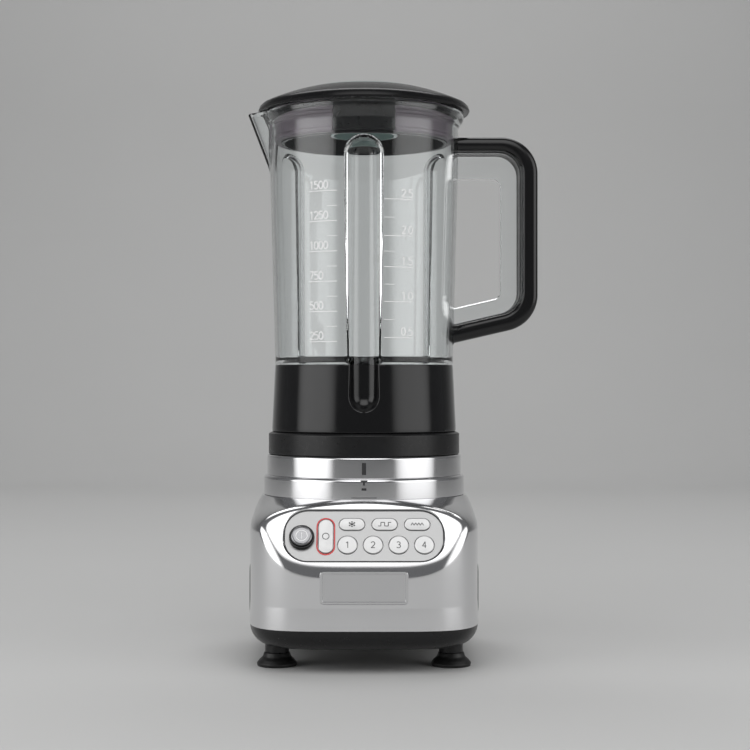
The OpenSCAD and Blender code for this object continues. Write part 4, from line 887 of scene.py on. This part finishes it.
# %% Floor, lights and camera
def sweep_floor():
    """A floor that turns up on a quarter circle of radius 0.9 m, 2.2 m behind, as a grid of points."""
    a = np.linspace(0, np.pi / 2, 24)
    y = np.concatenate([[-4.0], 2.0 + 0.9 * np.sin(a), [2.9]])
    z = np.concatenate([[0.0], 0.9 - 0.9 * np.cos(a), [4.0]])
    x = np.broadcast_to(np.linspace(-5, 5, 3), (len(y), 3))
    return np.stack([x, np.repeat(y[:, None], 3, 1), np.repeat(z[:, None], 3, 1)], -1) / MM


def sheet(name, grid):
    """An open sheet of the studio through a grid of points."""
    mesh = make_mesh(name, [join_rings(grid[:, ::-1], around=False, caps=False)])
    made = bpy.data.objects.new(name, mesh)
    bpy.context.scene.collection.objects.link(made)
    made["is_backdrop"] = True
    return made


paper = finish_of("studio_paper", (0.6, 0.6, 0.595), rough=(0.75, 0.9), scale=4, tint=0.01)
sheet("studio_floor", sweep_floor()).data.materials.append(paper)


def look(obj, at, target):
    """Places an object and turns its -Z towards a target."""
    obj.location = at
    obj.rotation_euler = (Vector(target) - Vector(at)).to_track_quat("-Z", "Y").to_euler()


def softbox(name, at, size, strength, target=(0, 0, 0.2)):
    """A glowing card, brightest in its middle: (1 - x^4)(1 - y^4) with x and y from -1 to 1 across it, as a
    diffuser over a lamp glows. It lights and is mirrored, but the camera doesn't see the card itself."""
    u, v = np.meshgrid([-size[0] / 2, size[0] / 2], [-size[1] / 2, size[1] / 2])
    card = sheet(name, np.stack([u, v, 0 * u], -1) / MM)
    glow = bpy.data.materials.new(name)
    glow.use_nodes = True
    tree, link = glow.node_tree, glow.node_tree.links.new
    tree.nodes.remove(tree.nodes["Principled BSDF"])

    def sum_of(operation, first, second):
        """A math node on two inputs, each a socket or a number."""
        node = tree.nodes.new("ShaderNodeMath")
        node.operation = operation
        for socket, value in zip(node.inputs, (first, second)):
            if isinstance(value, (int, float)):
                socket.default_value = value
            else:
                link(value, socket)
        return node.outputs["Value"]

    split = tree.nodes.new("ShaderNodeSeparateXYZ")
    link(tree.nodes.new("ShaderNodeTexCoord").outputs["Object"], split.inputs["Vector"])
    fades = [sum_of("SUBTRACT", 1, sum_of("POWER", sum_of("DIVIDE", split.outputs[axis], length / 2), 4))
             for axis, length in zip("XY", size)]
    lamp = tree.nodes.new("ShaderNodeEmission")
    link(sum_of("MULTIPLY", sum_of("MULTIPLY", *fades), strength), lamp.inputs["Strength"])
    link(lamp.outputs["Emission"], tree.nodes["Material Output"].inputs["Surface"])
    card.data.materials.append(glow)
    look(card, at, target)
    card.visible_camera = card.visible_shadow = False


softbox("card_left", (-1.45, -0.75, 0.62), (1.9, 1.7), 2.3)
softbox("card_right", (1.45, -0.75, 0.62), (1.9, 1.7), 1.9)
softbox("card_top", (0, -1.25, 1.55), (2.0, 1.7), 2.2)
softbox("card_back", (0, 1.3, 2.4), (3.2, 1.4), 3.0, (0, 1.6, 0.2))
scene = bpy.context.scene
scene.view_settings.view_transform = "Standard"
scene.world = bpy.data.worlds.new("studio")
scene.world.use_nodes = True
sky = scene.world.node_tree.nodes["Background"]
sky.inputs["Color"].default_value = (0.75, 0.76, 0.78, 1)
sky.inputs["Strength"].default_value = 0.2

camera = bpy.data.cameras.new("camera")
camera.lens, camera.sensor_width = 80, 36
camera.shift_x, camera.shift_y = 11 / 750, 10 / 750
eye = bpy.data.objects.new("camera", camera)
eye_level = 0.2013
look(eye, (0, -1.25, eye_level), (0, 0, eye_level))
scene.collection.objects.link(eye)
scene.camera = eye

new_low, new_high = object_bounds()
proud = np.concatenate([np.subtract(cad_low, new_low), np.subtract(new_high, cad_high)]) / MM
print("visual box stands proud by", [round(float(v), 2) for v in proud], "mm")
